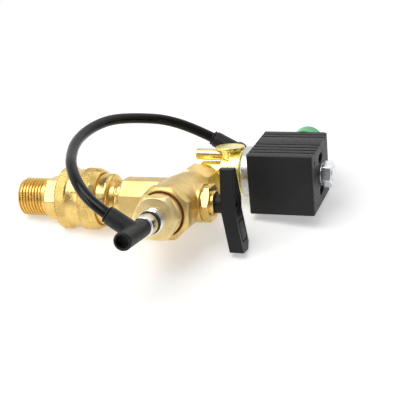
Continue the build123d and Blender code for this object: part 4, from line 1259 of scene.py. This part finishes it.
# Each soft box's direction from the object, size in metres and power in watts.
LAMPS = {
    "key_box": ((-0.35, -0.75, 1.25), 0.7, 6.0),
    "top_box": ((0.35, 0.35, 1.0), 1.2, 2.2),
    "side_box": ((-1.0, -0.9, 0.25), 0.4, 1.5),
}
LAMP_DISTANCE = 0.9


def make_lights():
    """Square soft boxes that face the object."""
    for name, (direction, size, power) in LAMPS.items():
        data = bpy.data.lights.new(name, "AREA")
        data.size = size
        data.energy = power
        lamp = linked(name, data)
        away = Vector(direction).normalized()
        lamp.location = OBJECT_CENTRE + away * LAMP_DISTANCE
        lamp.rotation_mode = "QUATERNION"
        lamp.rotation_quaternion = (-away).to_track_quat("-Z", "Y")


# ---------------------------------------------------------------- CAD pieces that keep their shape
# The finish of each CAD node that is shown; the others are rebuilt above and below.
SHOWN_NODES = {
    "turned": ("stem",),
    "nickel": ("ball", "rear_stud"),
    "zinc": ("terminals",),
    "stainless": ("coupler_balls", "strainer_screen", "plunger"),
    "spring": ("sleeve_clip", "coupler_spring", "plunger_spring"),
    "iron": ("coil_frame",),
    "copper": ("coil_winding",),
    "nylon": ("handle", "handle_screw", "front_collet", "rear_collet"),
    "rubber": ("coupler_seal", "stud_seal", "flange_seal", "seat_disc"),
    "ptfe": ("front_seat", "rear_seat", "stem_packing"),
    "fibre": ("cap_gasket",),
    "green": ("terminal_cap",),
}
BEVEL_WIDTH = {"handle": 0.35, "terminal_cap": 0.2}
PLAIN_BEVEL = 0.15
NODE_BEVEL_ANGLE = 32           # degrees


def dress_nodes():
    """Materials and softened corners for the CAD pieces that are shown as they are."""
    for finish, names in SHOWN_NODES.items():
        for name in names:
            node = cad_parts[name]
            coat(node, finish)
            weld = node.modifiers.new("weld", "WELD")
            weld.merge_threshold = SPLIT
            add_bevel(node, BEVEL_WIDTH.get(name, PLAIN_BEVEL), NODE_BEVEL_ANGLE)
            shade(node)


def make_softened():
    """The moulded hose elbows."""
    for node in ("front_elbow", "rear_elbow"):
        moulding = soften(bare_copy(node + "_moulding", node), voxel=0.2, passes=5)
        finish_piece(moulding, "nylon", "valve", node)


LEG_FRONT = -27.0
COLLAR_LENGTH = 7.0
COLLAR_FLATS = 28.2
COLLAR_FRONT_CHAMFER = 2.4
COLLAR_REAR_CHAMFER = 1.0
COLLAR_RECESS_RADIUS = 12.1
COLLAR_BORE = 11.1
COLLAR_RECESS_DEPTH = 2.0
LEG_RADIUS = 14.0
LEG_REAR_RADIUS = 12.9
LEG_TAPER_START = 5.0
LEG_SHELL = 12.0                # inside this radius, the leg's bore stays as it is
LEG_SKIN = 0.2


def shaped_leg(points):
    """Draws the leg's rear in to its real length and taper."""
    x, y, z = points.T
    old_rear = high("valve_body").y
    share = np.clip((y - LEG_TAPER_START) / (old_rear - LEG_TAPER_START), 0.0, None)
    y = np.where(share > 0, LEG_TAPER_START + share * (LEG_REAR - LEG_TAPER_START), y)
    out = np.hypot(x - CAP_X, z)
    limit = LEG_RADIUS - (LEG_RADIUS - LEG_REAR_RADIUS) * np.clip(share, 0.0, 1.0)
    shell = (out > LEG_SHELL) & (out < LEG_RADIUS + LEG_SKIN) & (share > 0)
    scale = np.where(shell, np.minimum(1.0, limit / np.maximum(out, 0.01)), 1.0)
    return np.stack([CAP_X + (x - CAP_X) * scale, y, z * scale], axis=1)


def make_valve_body():
    """The forging, with its octagonal collar turned to a wide cone in front."""
    corner = COLLAR_FLATS / 2 / math.cos(math.pi / 8)
    end = LEG_FRONT + COLLAR_LENGTH
    outline = [
        (LEG_FRONT, COLLAR_RECESS_RADIUS),
        (LEG_FRONT, corner - COLLAR_FRONT_CHAMFER),
        (LEG_FRONT + COLLAR_FRONT_CHAMFER, corner),
        (end - COLLAR_REAR_CHAMFER, corner),
        (end, corner - COLLAR_REAR_CHAMFER),
        (end, COLLAR_BORE),
        (LEG_FRONT + COLLAR_RECESS_DEPTH, COLLAR_BORE),
        (LEG_FRONT + COLLAR_RECESS_DEPTH, COLLAR_RECESS_RADIUS),
    ]
    cut = Flats(LEG_FRONT, end, COLLAR_FLATS, sides=8, turn=22.5)
    collar = lathe("collar", along_y(CAP_X), outline, corner=0.1, around=96, flats=[cut])
    body = merged("valve_body_forging", bare_copy("forging", "valve_body"), collar)
    soften(body, voxel=0.4, passes=5)
    moved_points(body, shaped_leg)
    finish_piece(body, "forged", "valve", "valve_body")


PORT_RADIUS = 11.5
PORT_LENGTH = 14.5
BARREL_RADIUS = 5.5
BARREL_START = 89.5
HOUSING_RADIUS = 9.4
HOUSING_START = 102.9
FLANGE_START = 108.1
FLANGE_RADIUS = 12.4
FLANGE_REAR_FLAT = 54.6
TOWER_X = 107.0
TOWER_RADIUS = 5.0
TOWER_TOP = 21.8
TOWER_HEAD_RADIUS = 8.2
TOWER_HEAD_THICKNESS = 1.8
REAR_BOSS_X = 106.5
REAR_BOSS_Z = 15.8
REAR_BOSS_RADIUS = 4.4
REAR_BOSS_END = 54.7
CHAMBER_RADIUS = 7.8
CHAMBER_START = 110.5
NOZZLE_RADIUS = 4.2
NOZZLE_BORE = 2.0
NOZZLE_FACE = 113.5
NOZZLE_DEPTH = 2.0              # of its bore, behind the chamber's floor
SOLENOID_VOXEL = 0.3
ROD_ROOT = 1.0                  # how far short of a flange's face a rod that it covers ends


def flat_behind(points):
    """Flattens the rear of the flange, which keeps it clear of the rear elbow."""
    flange = points[:, 0] > FLANGE_START - SOLENOID_VOXEL
    points[:, 1] = np.where(flange, np.minimum(points[:, 1], FLANGE_REAR_FLAT), points[:, 1])
    return points


def make_solenoid_body():
    """The casting: port, barrel, chamber housing with its flange, tower with its head and rear boss."""
    axis = solenoid_axis()
    upright = place((TOWER_X, SOLENOID_Y, 0), (0, 0, 1), (1, 0, 0))
    port_start = high("outlet_adaptor").y - ADAPTOR_NOSE_LENGTH
    head_start = TOWER_TOP - TOWER_HEAD_THICKNESS
    in_flange = FLANGE_END - ROD_ROOT
    in_head = TOWER_TOP - ROD_ROOT / 2
    port = along_y(CAP_X)
    boss = along_y(REAR_BOSS_X, REAR_BOSS_Z)
    body = merged(
        "solenoid_body_casting",
        solid_rod("port", port, port_start, port_start + PORT_LENGTH, PORT_RADIUS, corner=0.3, around=128),
        solid_rod("barrel", axis, BARREL_START, in_flange, BARREL_RADIUS, corner=1.5),
        solid_rod("housing", axis, HOUSING_START, in_flange, HOUSING_RADIUS, corner=0.3),
        solid_rod("flange", axis, FLANGE_START, FLANGE_END, FLANGE_RADIUS, corner=0.8, around=128),
        solid_rod("tower", upright, SOLENOID_Z, in_head, TOWER_RADIUS),
        solid_rod("head", upright, head_start, TOWER_TOP, TOWER_HEAD_RADIUS, corner=0.4),
        solid_rod("boss", boss, SOLENOID_Y, REAR_BOSS_END, REAR_BOSS_RADIUS),
    )
    soften(body, SOLENOID_VOXEL, passes=3)
    moved_points(body, flat_behind)
    floor = CHAMBER_START - NOZZLE_DEPTH
    mouth = FLANGE_END + OVERRUN
    chamber = [
        (floor, ON_AXIS),
        *stepped(floor, (NOZZLE_FACE, NOZZLE_BORE), (CHAMBER_START, NOZZLE_RADIUS), (mouth, CHAMBER_RADIUS)),
        (mouth, ON_AXIS),
    ]
    combine(body, lathe("chamber", axis, chamber, corner=0.05, around=96), "DIFFERENCE")
    shade(body)
    finish_piece(body, "cast", "valve", "solenoid_body")


COIL_FRONT = -20.5
COIL_REAR = 21.1
COIL_HALF_HEIGHT = 16.85
COIL_ROLL = math.radians(8.6)
RIB_WIDTH = 1.1
RIB_DEPTH = 0.8
RIB_FRONT_START = 6.5
RIB_FRONT_PITCH = 4.4
RIB_FRONT_COUNT = 4
RIB_REAR_START = 5.0
RIB_REAR_PITCH = 4.0
RIB_REAR_COUNT = 2
COIL_FRONT_ROUND = 1.2
COIL_REAR_ROUND = 2.5
COIL_EDGE = 0.35
COIL_EDGE_ANGLE = 40            # degrees
END_SLOT_UP = 9.3
END_SLOT_LENGTH = 9.0
END_SLOT_HEIGHT = 5.0
END_SLOT_DEPTH = 2.5
SLIT_ALONG = 6.3
SLIT_UP = 11.2
SLIT_WIDTH = 1.2
SLIT_LENGTH = 3.4
SLIT_DEPTH = 1.5
HUB_ALONG = 22.4
HUB_UP = 7.7
HUB_RADIUS = 8.0
HUB_LENGTH = 11.0
HUB_WALL = 1.6
HUB_ROOT = 0.5                  # how far the hub runs into the coil
HUB_FLOOR = 1.0


def coil_frame_matrix():
    """The coil's own frame: local X along the solenoid, local Y to the rear, local Z up."""
    turned = Matrix.Rotation(COIL_ROLL, 4, "X")
    turned.translation = Vector((COIL_START, SOLENOID_Y, SOLENOID_Z))
    return turned


def coil_section():
    """The coil's section across the solenoid axis, with its ribbing grooves above and below."""
    front = [COIL_FRONT + RIB_FRONT_START + RIB_FRONT_PITCH * index for index in range(RIB_FRONT_COUNT)]
    rear = [COIL_REAR - RIB_REAR_START - RIB_REAR_PITCH * index for index in range(RIB_REAR_COUNT)]
    floor = COIL_HALF_HEIGHT - RIB_DEPTH
    top = [(COIL_FRONT, COIL_HALF_HEIGHT)]
    for middle in sorted(front + rear):
        near, far = middle - RIB_WIDTH / 2, middle + RIB_WIDTH / 2
        top += [(near, COIL_HALF_HEIGHT), (near, floor), (far, floor), (far, COIL_HALF_HEIGHT)]
    top.append((COIL_REAR, COIL_HALF_HEIGHT))
    return top + [(y, -z) for y, z in reversed(top)]


def prism(name, outline, start, end, where):
    """A closed bar along local X with an outline of (y, z) points."""
    count = len(outline)
    points = np.array([(x, y, z) for x in (start, end) for y, z in outline])
    around = [(index, (index + 1) % count) for index in range(count)]
    faces = [[this, after, count + after, count + this] for this, after in around]
    faces += [list(reversed(range(count))), list(range(count, 2 * count))]
    bar = add_mesh(name, points, faces, where)
    tidy_mesh(bar)
    return bar


def stadium(y, z, length, height, count=12):
    """The outline of a slot with round ends, along y."""
    half = length / 2 - height / 2
    right = arc((y + half, z), height / 2, -90, 90, count)
    left = arc((y - half, z), height / 2, 90, 270, count)
    return right + left


def rounded_uprights(obj, where):
    """Rounds the coil's upright edges, in front and at its rear end."""
    shape = bmesh.new()
    shape.from_mesh(obj.data)
    back = where.inverted()
    fronts, rears = [], []
    for edge in shape.edges:
        first, second = [back @ (vert.co / MM) for vert in edge.verts]
        if abs(first.z - second.z) < 2 * COIL_HALF_HEIGHT - NEAR:
            continue
        if max(abs(first.y - COIL_FRONT), abs(second.y - COIL_FRONT)) < NEAR:
            fronts.append(edge)
        elif max(abs(first.y - COIL_REAR), abs(second.y - COIL_REAR)) < NEAR and first.x > 1.0:
            rears.append(edge)
    for edges, radius in ((fronts, COIL_FRONT_ROUND), (rears, COIL_REAR_ROUND)):
        bmesh.ops.bevel(shape, geom=edges, offset=radius * MM, segments=5, profile=0.5, affect="EDGES")
    shape.to_mesh(obj.data)
    shape.free()


def hub(where):
    """The open-ended hub behind the coil, round the terminals."""
    socket = HUB_RADIUS - HUB_WALL
    outline = [
        (-HUB_ROOT, ON_AXIS),
        *stepped(-HUB_ROOT, (HUB_LENGTH, HUB_RADIUS), (HUB_FLOOR, socket)),
        (HUB_FLOOR, ON_AXIS),
    ]
    middle = place((HUB_ALONG, COIL_REAR, HUB_UP), (0, 1, 0), (1, 0, 0))
    return lathe("hub", where @ middle, outline, corner=0.2, around=64)


def end_openings(length, where):
    """Cutters for the two long openings and the slit in the coil's end."""
    past = length + OVERRUN
    cutters = []
    for side in (-1, 1):
        opening = stadium(0.0, side * END_SLOT_UP, END_SLOT_LENGTH, END_SLOT_HEIGHT)
        cutters.append(prism("slot", opening, length - END_SLOT_DEPTH, past, where))
    near, far = COIL_FRONT + SLIT_ALONG - SLIT_WIDTH / 2, COIL_FRONT + SLIT_ALONG + SLIT_WIDTH / 2
    bottom, top = SLIT_UP - SLIT_LENGTH / 2, SLIT_UP + SLIT_LENGTH / 2
    slit = [(near, bottom), (far, bottom), (far, top), (near, top)]
    cutters.append(prism("slit", slit, length - SLIT_DEPTH, past, where))
    return merged("cutters", *cutters)


def make_coil():
    """The moulded coil with its ribs, its openings at the end and the terminal hub behind."""
    where = coil_frame_matrix()
    length = high("coil_housing").x - COIL_START
    coil = prism("coil_housing_moulding", coil_section(), 0.0, length, where)
    rounded_uprights(coil, where)
    combine(coil, hub(where), "UNION")
    combine(coil, end_openings(length, where), "DIFFERENCE")
    add_bevel(coil, COIL_EDGE, COIL_EDGE_ANGLE)
    apply_modifiers(coil)
    shade(coil)
    finish_piece(coil, "coil", "valve", "coil_housing")


# ---------------------------------------------------------------- run
make_camera()
make_hose()
make_nipple()
make_sleeve()
make_coupler()
make_gland()
make_cap()
make_stud()
make_adaptor()
make_adaptor_seal()
make_spigot()
make_tube()
make_core()
make_nut()
make_washer()
make_softened()
make_valve_body()
make_solenoid_body()
make_coil()
dress_nodes()
make_floor()
make_world()
make_lights()
bpy.context.scene.view_settings.view_transform = "Standard"
